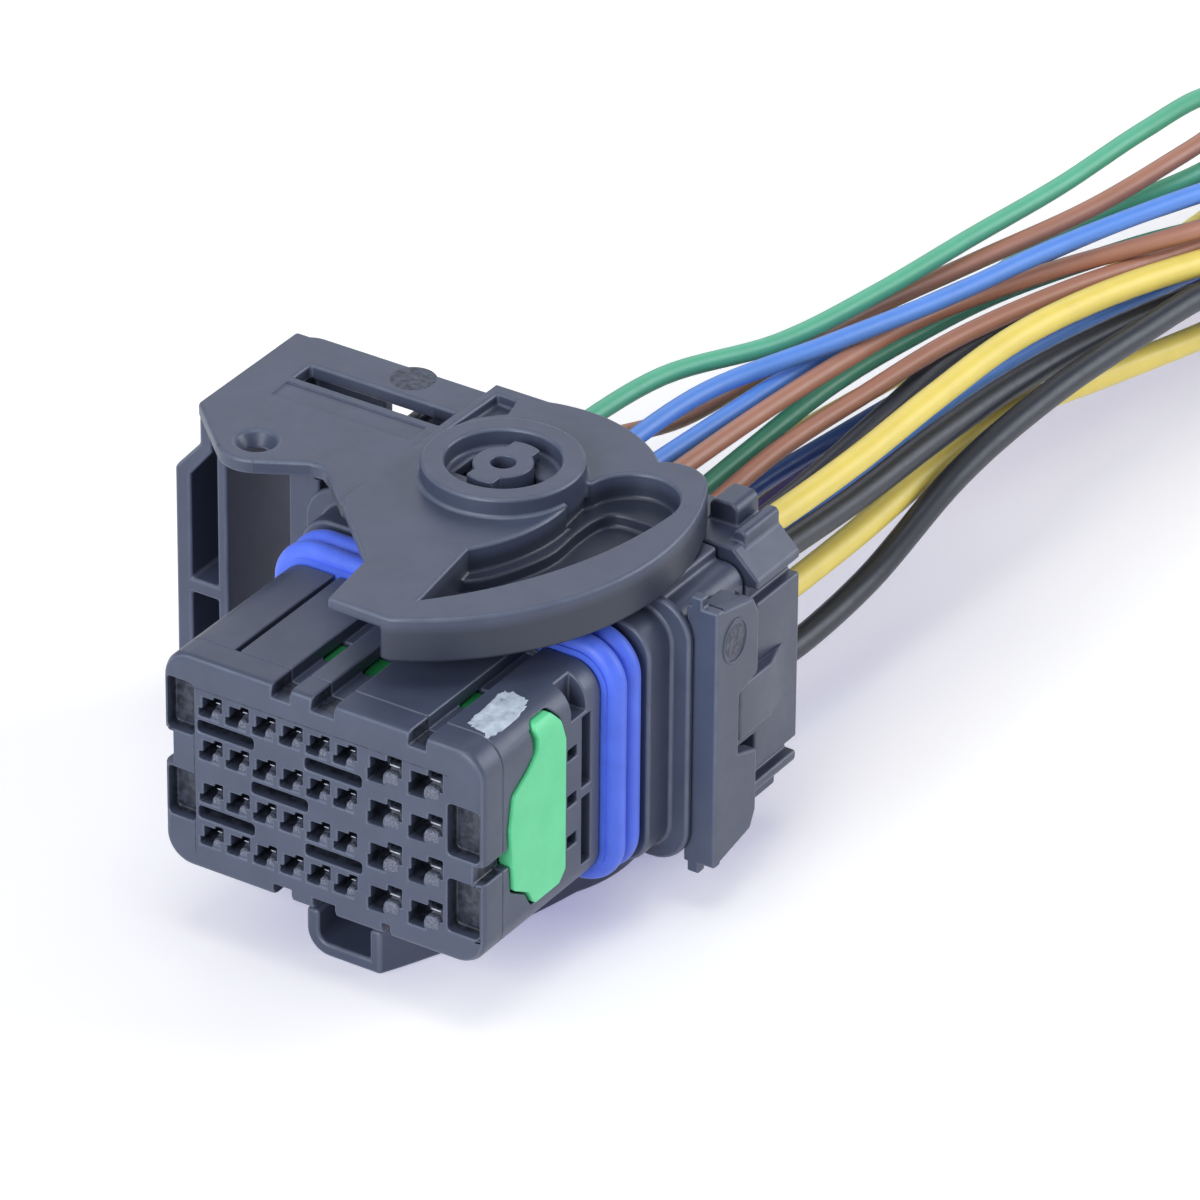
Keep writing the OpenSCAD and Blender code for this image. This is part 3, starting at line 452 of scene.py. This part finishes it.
def settle_normals(mesh):
    """Corner normals: the area-weighted mean of the plain faces at the corner's point that lean
    less than 50 degrees from its own face, or else of the rounded ones. So flat faces shade flat,
    and the turn of the light stays on the rounded edges. Points where only rounded faces meet are
    marked for the painted highlight on edges."""
    count, loops = len(mesh.polygons), len(mesh.loops)
    normal, area = np.empty(3 * count), np.empty(count)
    kind, sides = np.empty(count, dtype=np.int32), np.empty(count, dtype=np.int32)
    point = np.empty(loops, dtype=np.int32)
    mesh.polygons.foreach_get("normal", normal)
    mesh.polygons.foreach_get("area", area)
    mesh.polygons.foreach_get("material_index", kind)
    mesh.polygons.foreach_get("loop_total", sides)
    mesh.loops.foreach_get("vertex_index", point)
    owner, normal = np.repeat(np.arange(count), sides), normal.reshape(-1, 3)
    meets = np.bincount(point, minlength=len(mesh.vertices))
    by_point, before = np.argsort(point, kind="stable"), np.cumsum(meets) - meets
    pairs = meets[point]
    one = np.repeat(np.arange(loops), pairs)
    turn = np.arange(pairs.sum()) - np.repeat(np.cumsum(pairs) - pairs, pairs)
    other = owner[by_point[before[point[one]] + turn]]
    lean = np.einsum("ij,ij->i", normal[owner[one]], normal[other])
    pull = np.where(lean > np.cos(LEAN_ANGLE), area[other], 0)[:, None] * normal[other]
    total = np.zeros((2, loops, 3))
    np.add.at(total, (kind[other], one), pull)
    length = np.linalg.norm(total, axis=2, keepdims=True)
    plain_mean, rounded_mean = total / np.maximum(length, TINY)
    turned = np.where(length[0] > TINY, plain_mean, rounded_mean)
    plain = np.bincount(point[kind[owner] == 0], minlength=len(mesh.vertices))
    # Marks the points that get the painted edge highlight.
    painted_edge_highlight = mesh.attributes.new("painted_edge_highlight", "FLOAT", "POINT")
    painted_edge_highlight.data.foreach_set("value", (plain == 0).astype(np.float32))
    mesh.polygons.foreach_set("material_index", np.zeros(count, dtype=np.int32))
    mesh.polygons.foreach_set("use_smooth", np.ones(count, dtype=bool))
    mesh.normals_split_custom_set(turned.tolist())


def moulded(node, body, material, edge):
    """A copy of the node's solid, its triangles merged into faces and its sharp edges rounded.
    Until the normals are settled, slot 0 holds the plain faces and slot 1 the rounded edges."""
    plain = bpy.data.meshes.new(node + "_plain")
    shape = bmesh.new()
    shape.from_mesh(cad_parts[node].data)
    bmesh.ops.remove_doubles(shape, verts=shape.verts, dist=0.001 * MM)
    bmesh.ops.dissolve_limit(shape, angle_limit=FLAT_ANGLE, verts=shape.verts, edges=shape.edges)
    weigh_edges(shape, edge * MM)
    shape.to_mesh(plain)
    plain.materials.clear()
    plain.materials.append(material)
    plain.materials.append(material)
    plain.polygons.foreach_set("material_index", np.zeros(len(plain.polygons), dtype=np.int32))
    piece = bpy.data.objects.new(node + "_moulding", plain)
    bpy.context.collection.objects.link(piece)
    rounding = piece.modifiers.new("edge_rounding", "BEVEL")
    rounding.width = edge * MM
    rounding.segments = 3
    rounding.limit_method = "WEIGHT"
    rounding.use_clamp_overlap = False
    rounding.loop_slide = False
    rounding.material = 1
    depsgraph = bpy.context.evaluated_depsgraph_get()
    mesh = bpy.data.meshes.new_from_object(piece.evaluated_get(depsgraph))
    piece.modifiers.clear()
    shape.clear()
    shape.from_mesh(mesh)
    refill_flats(shape)
    shape.to_mesh(mesh)
    shape.free()
    settle_normals(mesh)
    mesh.materials.pop()
    piece.data = mesh
    mesh.name = node + "_moulding"
    bpy.data.meshes.remove(plain)
    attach(piece, body)
    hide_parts(node)


nylon = black_nylon("black_nylon")
moulded("receptacle", "housing", nylon, edge=0.2)
moulded("flange_block", "housing", nylon, edge=0.4)
moulded("strap_left", "housing", nylon, edge=0.35)
moulded("strap_right", "housing", nylon, edge=0.35)
moulded("upper_pivot", "housing", nylon, edge=0.2)
moulded("lower_pivot", "housing", nylon, edge=0.2)
moulded("rear_cap", "housing", nylon, edge=0.3)


# Lever: one black moulding of two cam plates and a handle, which turns on the two pivots.
# Below its top faces, the cam pocket and the rim are painted darker, as painted shade.
# The colour of the painted shade below the lever's top faces.
RECESS_PAINTED_SHADE = (0.03, 0.037, 0.06)
RECESS_TOP, RECESS_DEEP = 18.5, 17.5
UPPER_Z, HANDLE_X = 5, -15


def axes(tree, place):
    """A place's x, y and z."""
    split = tree.nodes.new("ShaderNodeSeparateXYZ")
    tree.links.new(place, split.inputs["Vector"])
    return split.outputs["X"], split.outputs["Y"], split.outputs["Z"]


def lever_nylon(name):
    """The mouldings' plastic, with painted shade below the upper plate's top, right of the handle.
    """
    material = black_nylon(name)
    tree = material.node_tree
    colour = tree.nodes["Principled BSDF"].inputs["Base Color"]
    x, _, z = axes(tree, object_place(tree))
    low = span(tree, z, low=0, high=1, start=RECESS_TOP * MM, end=RECESS_DEEP * MM)
    upper = maths(tree, "GREATER_THAN", z, UPPER_Z * MM)
    right = maths(tree, "GREATER_THAN", x, HANDLE_X * MM)
    # Painted shade: darker on the upper plate below its top, right of the handle.
    painted_shade_mask = maths(tree, "MULTIPLY", maths(tree, "MULTIPLY", upper, right), low)
    tree.links.new(blend(tree, painted_shade_mask, colour.links[0].from_socket, RECESS_PAINTED_SHADE), colour)
    return material


moulded("lever", "lever", lever_nylon("lever_nylon"), edge=0.4)


# Mould marks: round inserts in the mould leave a plain rough disc on the lever arm, and a raised
# ring round a rough disc on the right strap. They are part of the same shots as arm and strap.
ARM_SPOT, STRAP_SPOT = np.array([-19.4, 44.1, 18.6]), np.array([24.05, 32.8, 9.7])
ARM_DISC_R, STRAP_DISC_R, DISC_RISE = 2.3, 1.75, 0.05
RING_ACROSS, RING_UP, RING_BEAD = 1.95, 2.2, 0.13
FACING_RIGHT = [2, 0, 1]


def disc_rings(radius, rise):
    """Low disc: rings at r = radius q, height rise (1 - q^8) - rise/4, so that its rim sinks in."""
    q = np.linspace(0.03, 1, 12)[:, None]
    a = np.linspace(2 * np.pi, 0, 48, endpoint=False)
    height = np.broadcast_to(rise * (1 - q ** 8) - rise / 4, (12, 48))
    return np.stack([radius * q * np.cos(a), radius * q * np.sin(a), height], axis=-1)


def oval_rings(across, up, thickness):
    """Round bead along an oval: ((across + t cos b) cos a, (up + t cos b) sin a, t sin b)."""
    a = np.linspace(0, 2 * np.pi, 65)[:, None]
    b = np.linspace(0, 2 * np.pi, 12, endpoint=False)
    out = thickness * np.cos(b)
    return np.stack([(across + out) * np.cos(a), (up + out) * np.sin(a),
                     np.broadcast_to(thickness * np.sin(b), (65, 12))], axis=-1)


def rough_nylon(name):
    """The mouldings' plastic where the insert is coarsely eroded: deep grain with paler peaks."""
    material, tree, skin = shader(name)
    grain = noise(tree, object_place(tree), scale=1500, detail=4)
    dress(tree, skin,
          ramp(tree, grain, [(0.4, (0.03, 0.036, 0.056)), (0.62, (0.085, 0.097, 0.14))]),
          span(tree, grain, low=0.35, high=0.6),
          bump(tree, grain, depth=0.3 * MM))
    return material


rough = rough_nylon("rough_nylon")
arm_disc = ARM_SPOT + disc_rings(ARM_DISC_R, DISC_RISE)
side_disc = STRAP_SPOT + disc_rings(STRAP_DISC_R, DISC_RISE)[..., FACING_RIGHT]
side_ring = STRAP_SPOT + oval_rings(RING_ACROSS, RING_UP, RING_BEAD)[..., FACING_RIGHT]
arm_mark = surface("arm_mark", arm_disc * MM, capped=True)
strap_disc = surface("strap_disc", side_disc * MM, capped=True)
strap_ring = surface("strap_ring", side_ring * MM)
for piece, body, material in ((arm_mark, "lever", rough), (strap_disc, "housing", rough),
                              (strap_ring, "housing", nylon)):
    piece.data.materials.append(material)
    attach(piece, body)


# Inspection dab: a ragged brush mark of white paint, brushed on after a test.
# It lies across the top right corner of the plug, just behind the mating face.
CORNER_X, CORNER_Z, CORNER_R = 14.8, 8.5, 3
DAB_S, DAB_Y, DAB_HALF_S, DAB_HALF_Y = -0.25, 7.45, 1.72, 3.75
DAB_SKEW_S, DAB_SKEW_Y = 0.22, 0.3
DAB_THICK, DAB_SUNK = 0.075, 0.02


def full(wave, power):
    """A wave between -1 and 1 with fuller shoulders: sgn(w) |w|^power."""
    return np.sign(wave) * np.abs(wave) ** power


def dab_rings():
    """Thin sheet over a corner of radius r: with a = max(s, 0)/r and height h,
    x = corner x + min(s, 0) + (r + h) sin a and z = corner z + (r + h) cos a; its outline in s and
    y is a wavering oblong, full(cos t) by full(sin t), a little skewed."""
    q = np.linspace(0.02, 1, 14)[:, None]
    t = np.linspace(2 * np.pi, 0, 160, endpoint=False)
    waver = 1 + 0.035 * np.sin(5 * t + 1) + 0.03 * np.sin(11 * t + 2) + 0.025 * np.sin(23 * t)
    across, along = full(np.cos(t), 0.42) * waver, full(np.sin(t), 0.42) * waver
    s = DAB_S + DAB_HALF_S * q * across - DAB_SKEW_S * q * along
    y = DAB_Y + DAB_HALF_Y * q * along - DAB_SKEW_Y * q * across
    reach = CORNER_R + DAB_THICK * (1 - q ** 8) - DAB_SUNK
    turn = np.maximum(s, 0) / CORNER_R
    return np.stack([CORNER_X + np.minimum(s, 0) + reach * np.sin(turn), y,
                     CORNER_Z + reach * np.cos(turn)], axis=-1)


def white_paint(name):
    """Cold white paint, thin and streaky, with dark flecks where the plastic shows through."""
    material, tree, skin = shader(name)
    streak = noise(tree, object_place(tree), scale=900, detail=4)
    dress(tree, skin,
          ramp(tree, streak, [(0.24, (0.14, 0.16, 0.2)), (0.33, (0.4, 0.46, 0.54)),
                              (0.55, (0.54, 0.61, 0.7)), (0.7, (0.68, 0.74, 0.82))]),
          span(tree, streak, low=0.5, high=0.3),
          bump(tree, streak, depth=0.15 * MM))
    return material


dab = surface("inspection_dab", dab_rings() * MM, capped=True)
dab.data.materials.append(white_paint("white_paint"))
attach(dab, "housing")


# Front cover: the moulded face with the stepped contact openings, clipped on over the receptacle.
# Each opening has a grained round-topped block at its lower right, painted paler as painted
# light, and a thin pale lip above it, a painted glint.
MOUTH_Y, INSIDE_Y, INSIDE_R = 0.5, 1.1, 2.75
JOINT_X, JOINT_Z, JOINT_HALF_W = -14.2, 8.3, 0.06
JOINT_MIDDLE_X, JOINT_MIDDLE_Z, JOINT_HALF_X, JOINT_HALF_Z = -0.1, -0.7, 14.1, 9
LIP_Y, BLOCK_SUNK = 0.45, 0.05


def cover_nylon(name):
    """The mouldings' plastic, with a fine dark joint line left of and above the contact field, and
    rough, with painted shade, in the openings: behind the mouth, and near enough to the corner
    centres that the cover's outer skin is left out."""
    material, tree, skin = shader(name)
    place = object_place(tree)
    x, y, z = axes(tree, place)
    behind = span(tree, y, low=0, high=1, start=MOUTH_Y * MM, end=INSIDE_Y * MM)
    corner, zero = (CORNER_X * MM, 1, CORNER_Z * MM), (0, 0, 0)
    outward = place
    for operation, bound, result in (("ABSOLUTE", zero, "Vector"), ("SUBTRACT", corner, "Vector"),
                                     ("MAXIMUM", zero, "Vector"), ("LENGTH", zero, "Value")):
        fold = tree.nodes.new("ShaderNodeVectorMath")
        fold.operation = operation
        tree.links.new(outward, fold.inputs[0])
        fold.inputs[1].default_value = bound
        outward = fold.outputs[result]
    within = maths(tree, "LESS_THAN", outward, INSIDE_R * MM)
    upright = maths(tree, "MULTIPLY",
                    maths(tree, "COMPARE", x, JOINT_X * MM, JOINT_HALF_W * MM),
                    maths(tree, "COMPARE", z, JOINT_MIDDLE_Z * MM, JOINT_HALF_Z * MM))
    level = maths(tree, "MULTIPLY",
                  maths(tree, "COMPARE", z, JOINT_Z * MM, JOINT_HALF_W * MM),
                  maths(tree, "COMPARE", x, JOINT_MIDDLE_X * MM, JOINT_HALF_X * MM))
    # Dark joint lines, and painted shade in the openings.
    joint_and_painted_shade = maths(tree, "MAXIMUM", maths(tree, "MAXIMUM", upright, level),
                 maths(tree, "MULTIPLY", within, behind))
    # Colour of the joint lines and of the painted shade in the openings.
    joint_and_shade_colour = ramp(tree, noise(tree, place, scale=1500, detail=4),
                      [(0.4, (0.015, 0.018, 0.029)), (0.62, (0.046, 0.054, 0.079))])
    texture_nylon(tree, skin, place, blend(tree, joint_and_painted_shade, edge_highlit_nylon(tree, place), joint_and_shade_colour))
    return material


def grained_nylon(name):
    """Charcoal plastic with a coarse spark-eroded grain, painted pale to stand in for light."""
    material, tree, skin = shader(name)
    grain = noise(tree, object_place(tree), scale=5500, detail=5)
    dress(tree, skin,
          # Painted light: paler than the other mouldings, with real grain.
          ramp(tree, grain, [(0.35, (0.06, 0.069, 0.1)), (0.65, (0.19, 0.205, 0.26))]),
          span(tree, grain, low=0.4, high=0.7),
          bump(tree, grain, depth=0.12 * MM))
    return material


def painted_glint_lip(name):
    """Pale plastic, a painted glint: it stands in for the highlight on the lip's edge."""
    material, tree, skin = shader(name)
    glint = noise(tree, object_place(tree), scale=3000)
    dress(tree, skin,
          # Painted glint: pale colour for the highlight on the lip.
          ramp(tree, glint, [(0.3, (0.36, 0.38, 0.43)), (0.7, (0.62, 0.64, 0.69))]),
          span(tree, glint, low=0.15, high=0.3))
    return material


def block_rings(left, foot, width, height):
    """Round-topped blocks: x = m + w/2 full(cos t), z = foot + h full(sin t), drawn back along y.
    The first rows narrow towards the face, which rounds the block's front edge."""
    t = np.linspace(0, np.pi, 22)
    depth = np.array([0.2, 0.22, 0.3, 0.45, 1.5])[:, None]
    scale = np.array([0.72, 0.86, 0.96, 1, 1])[:, None]
    across, up = full(np.cos(t), 0.6), full(np.sin(t), 0.6)
    left, foot, width, height = [size[:, None, None] for size in (left, foot, width, height)]
    x = left + width / 2 + width / 2 * scale * across
    z = foot + height * scale * up
    return np.stack([x, np.broadcast_to(depth, x.shape), z], axis=-1) * MM


def lip_rings(left, z, length, radius):
    """Thin round lips: circles carried along x from left, half a millimetre behind the face."""
    along = np.array([0, 0.02, 0.98, 1])[:, None]
    swell = np.array([0.3, 1, 1, 0.3])[:, None]
    a = np.linspace(0, 2 * np.pi, 10, endpoint=False)
    left, z, length, radius = [size[:, None, None] for size in (left, z, length, radius)]
    y = LIP_Y + radius * swell * np.cos(a)
    x = np.broadcast_to(left + length * along, y.shape)
    return np.stack([x, y, z + radius * swell * np.sin(a)], axis=-1) * MM


moulded("front_cover", "housing", cover_nylon("cover_nylon"), edge=0.2)
columns = np.arange(SMALL_COLUMNS + LARGE_COLUMNS)
row, column = [grid.ravel() for grid in np.meshgrid(np.arange(ROWS), columns, indexing="ij")]
large = column >= SMALL_COLUMNS
middle_x = np.where(large, cavity_x("l", column - SMALL_COLUMNS), cavity_x("s", column))
opening_half_w, opening_half_h = np.where(large, 1.75, 1.15), np.where(large, 1.57, 1.05)
opening_x, opening_z = middle_x - opening_half_w, cavity_z(row) - opening_half_h
blocks = surface("opening_blocks", block_rings(
    left=opening_x + np.where(large, 1.5, 1.3), foot=opening_z - BLOCK_SUNK,
    width=np.where(large, 1.9, 0.95), height=np.where(large, 1.45, 0.95)), capped=True)
blocks.data.materials.append(grained_nylon("grained_nylon"))
lips = surface("opening_lips", lip_rings(
    left=opening_x + np.where(large, 2.25, 1.75), z=opening_z + np.where(large, 2.2, 1.75),
    length=np.where(large, 1.1, 0.5), radius=np.where(large, 0.07, 0.05)), capped=True)
lips.data.materials.append(painted_glint_lip("painted_glint_lip"))
for piece in (blocks, lips):
    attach(piece, "housing")


# Contact lock: a bright green nylon plate that slides across the plug and bars the contacts.
# Only its head shows on the right; the plate behind, seen through the top grooves, is painted
# dark green as painted shade.
LOCK_DEEP, LOCK_BRIGHT = (0.135, 0.72, 0.325), (0.16, 0.79, 0.365)
# Colour of the painted shade on the plate inside the plug.
LOCK_PAINTED_SHADE = (0.025, 0.24, 0.075)
SHADE_END, HEAD_START = 13.5, 14.5


def green_nylon(name):
    """Dyed plastic with a soft gloss and faint flow mottling, and painted shade where it runs in
    the plug.
    """
    material, tree, skin = shader(name)
    place = object_place(tree)
    x, _, _ = axes(tree, place)
    outside = span(tree, x, low=0, high=1, start=SHADE_END * MM, end=HEAD_START * MM)
    mottled = ramp(tree, noise(tree, place, scale=240), [(0.3, LOCK_DEEP), (0.7, LOCK_BRIGHT)])
    dress(tree, skin,
          # Painted shade on the plate where it runs inside the plug.
          blend(tree, outside, LOCK_PAINTED_SHADE, mottled),
          span(tree, noise(tree, place, scale=800), low=0.34, high=0.48),
          bump(tree, noise(tree, place, scale=4200), depth=0.03 * MM, strength=0.35))
    return material


moulded("secondary_lock", "lock", green_nylon("green_nylon"), edge=0.14)


# Seals: soft silicone with an oily bloom, a blue ribbed ring stretched round the plug and a rust
# red mat behind the contacts, pierced by the wires. Both keep the shape of their solids.
def silicone(name, deep, bright):
    """Soft rubber: low gloss, slight sheen and a faint dusty bloom."""
    material, tree, skin = shader(name)
    place = object_place(tree)
    dress(tree, skin,
          ramp(tree, noise(tree, place, scale=320), [(0.3, deep), (0.7, bright)]),
          span(tree, noise(tree, place, scale=1100), low=0.38, high=0.55),
          bump(tree, noise(tree, place, scale=3000), depth=0.03 * MM, strength=0.3))
    skin.inputs["Sheen Weight"].default_value = 0.15
    return material


def finish_node(node, material):
    """Gives a CAD node that keeps its own shape its finish."""
    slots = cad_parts[node].data.materials
    slots.clear()
    slots.append(material)


finish_node("perimeter_seal", silicone("blue_silicone", (0.07, 0.145, 0.76), (0.09, 0.18, 0.88)))
finish_node("wire_seal", silicone("rust_silicone", (0.3, 0.09, 0.03), (0.42, 0.14, 0.05)))


# Contacts: tin-plated spring bronze, bent from strip and crimped on the wires.
# They sit in the cavities and are seen only through the openings of the cover.
def tinned_bronze(name):
    """Soft grey metal with drawn streaks along the strip."""
    material, tree, skin = shader(name)
    stretch = tree.nodes.new("ShaderNodeMapping")
    stretch.inputs["Scale"].default_value = (1, 0.08, 1)
    tree.links.new(object_place(tree), stretch.inputs["Vector"])
    streak = noise(tree, stretch.outputs["Vector"], scale=5000)
    dress(tree, skin,
          ramp(tree, streak, [(0.3, (0.5, 0.5, 0.51)), (0.7, (0.68, 0.68, 0.69))]),
          span(tree, streak, low=0.25, high=0.45))
    skin.inputs["Metallic"].default_value = 1
    return material


tin = tinned_bronze("tinned_bronze")
for number in range(1, len(wires) + 1):
    finish_node(f"contact_{number:02d}", tin)


# Studio: a pale matt table just under the plug, under a dim sky, with square soft boxes overhead,
# low in front and behind on both sides. From below, the table lets the eye through.
TABLE_Z, TABLE_HALF = cad_box[0][2] - 0.02 * MM, 3
PLUG_MIDDLE = (0, 0.03, 0)
LAMP_COLOUR = (0.9, 0.94, 1)


def seen_rays(tree):
    """1 for rays that show the table to the camera, directly, in gloss or through glass, else 0."""
    rays = tree.nodes.new("ShaderNodeLightPath").outputs
    direct = maths(tree, "MAXIMUM", rays["Is Camera Ray"], rays["Is Glossy Ray"])
    return maths(tree, "MAXIMUM", direct, rays["Is Transmission Ray"])


def mix_shaders(tree, factor, one, other):
    """One shader where the factor is 0, and the other where it is 1."""
    mix = tree.nodes.new("ShaderNodeMixShader")
    for socket, source in zip(mix.inputs, (factor, one, other)):
        tree.links.new(source, socket)
    return mix.outputs["Shader"]


def table_paint(name):
    """Matt paint, warmer and with a faint cold glow for the rays that the camera sees, and clear
    from below."""
    material, tree, skin = shader(name)
    skin.inputs["Base Color"].default_value = (0.8, 0.8, 0.82, 1)
    skin.inputs["Roughness"].default_value = 0.9
    seen_skin = tree.nodes.new("ShaderNodeBsdfDiffuse")
    seen_skin.inputs["Color"].default_value = (0.95, 0.92, 0.69, 1)
    seen_glow = tree.nodes.new("ShaderNodeEmission")
    seen_glow.inputs["Color"].default_value = (0.22, 0.22, 0.41, 1)
    seen = tree.nodes.new("ShaderNodeAddShader")
    tree.links.new(seen_skin.outputs["BSDF"], seen.inputs[0])
    tree.links.new(seen_glow.outputs["Emission"], seen.inputs[1])
    above = mix_shaders(tree, seen_rays(tree), skin.outputs["BSDF"], seen.outputs["Shader"])
    below = tree.nodes.new("ShaderNodeBsdfTransparent").outputs["BSDF"]
    backs = tree.nodes.new("ShaderNodeNewGeometry").outputs["Backfacing"]
    tree.links.new(mix_shaders(tree, backs, above, below),
                   tree.nodes["Material Output"].inputs["Surface"])
    return material


def soft_light(name, place, size, power):
    """A square soft box at a place, facing the plug."""
    lamp = bpy.data.objects.new(name, bpy.data.lights.new(name, "AREA"))
    bpy.context.collection.objects.link(lamp)
    lamp.data.size = size
    lamp.data.energy = power
    lamp.data.color = LAMP_COLOUR
    away = unit(np.array(place) - np.array(PLUG_MIDDLE))
    side = unit(np.cross([0, 0, 1], away))
    up = np.cross(away, side)
    lamp.matrix_world = Matrix([*zip(side, up, away, place), (0, 0, 0, 1)])


table_mesh = bpy.data.meshes.new("table")
table_corners = [(-TABLE_HALF, -TABLE_HALF, TABLE_Z), (TABLE_HALF, -TABLE_HALF, TABLE_Z),
                 (TABLE_HALF, TABLE_HALF, TABLE_Z), (-TABLE_HALF, TABLE_HALF, TABLE_Z)]
table_mesh.from_pydata(table_corners, [], [(0, 1, 2, 3)])
table_mesh.materials.append(table_paint("table_paint"))
table = bpy.data.objects.new("table", table_mesh)
bpy.context.collection.objects.link(table)

world = bpy.data.worlds.new("studio")
bpy.context.scene.world = world
world.use_nodes = True
sky = world.node_tree.nodes["Background"]
sky.inputs["Color"].default_value = (0.9, 0.93, 1, 1)
sky.inputs["Strength"].default_value = 0.2

soft_light("overhead", (0.1, -0.1, 1.15), size=0.6, power=3.3)
soft_light("front", (0, -1.036, 0.431), size=0.7, power=11)
soft_light("front_left", (-0.544, -0.514, 0.855), size=0.7, power=1.8)
soft_light("back_left", (-0.535, 0.86, 0.6), size=0.9, power=3)
soft_light("back_right", (0.754, 0.784, 0.431), size=0.7, power=7.5)

bpy.context.scene.view_settings.view_transform = "Standard"
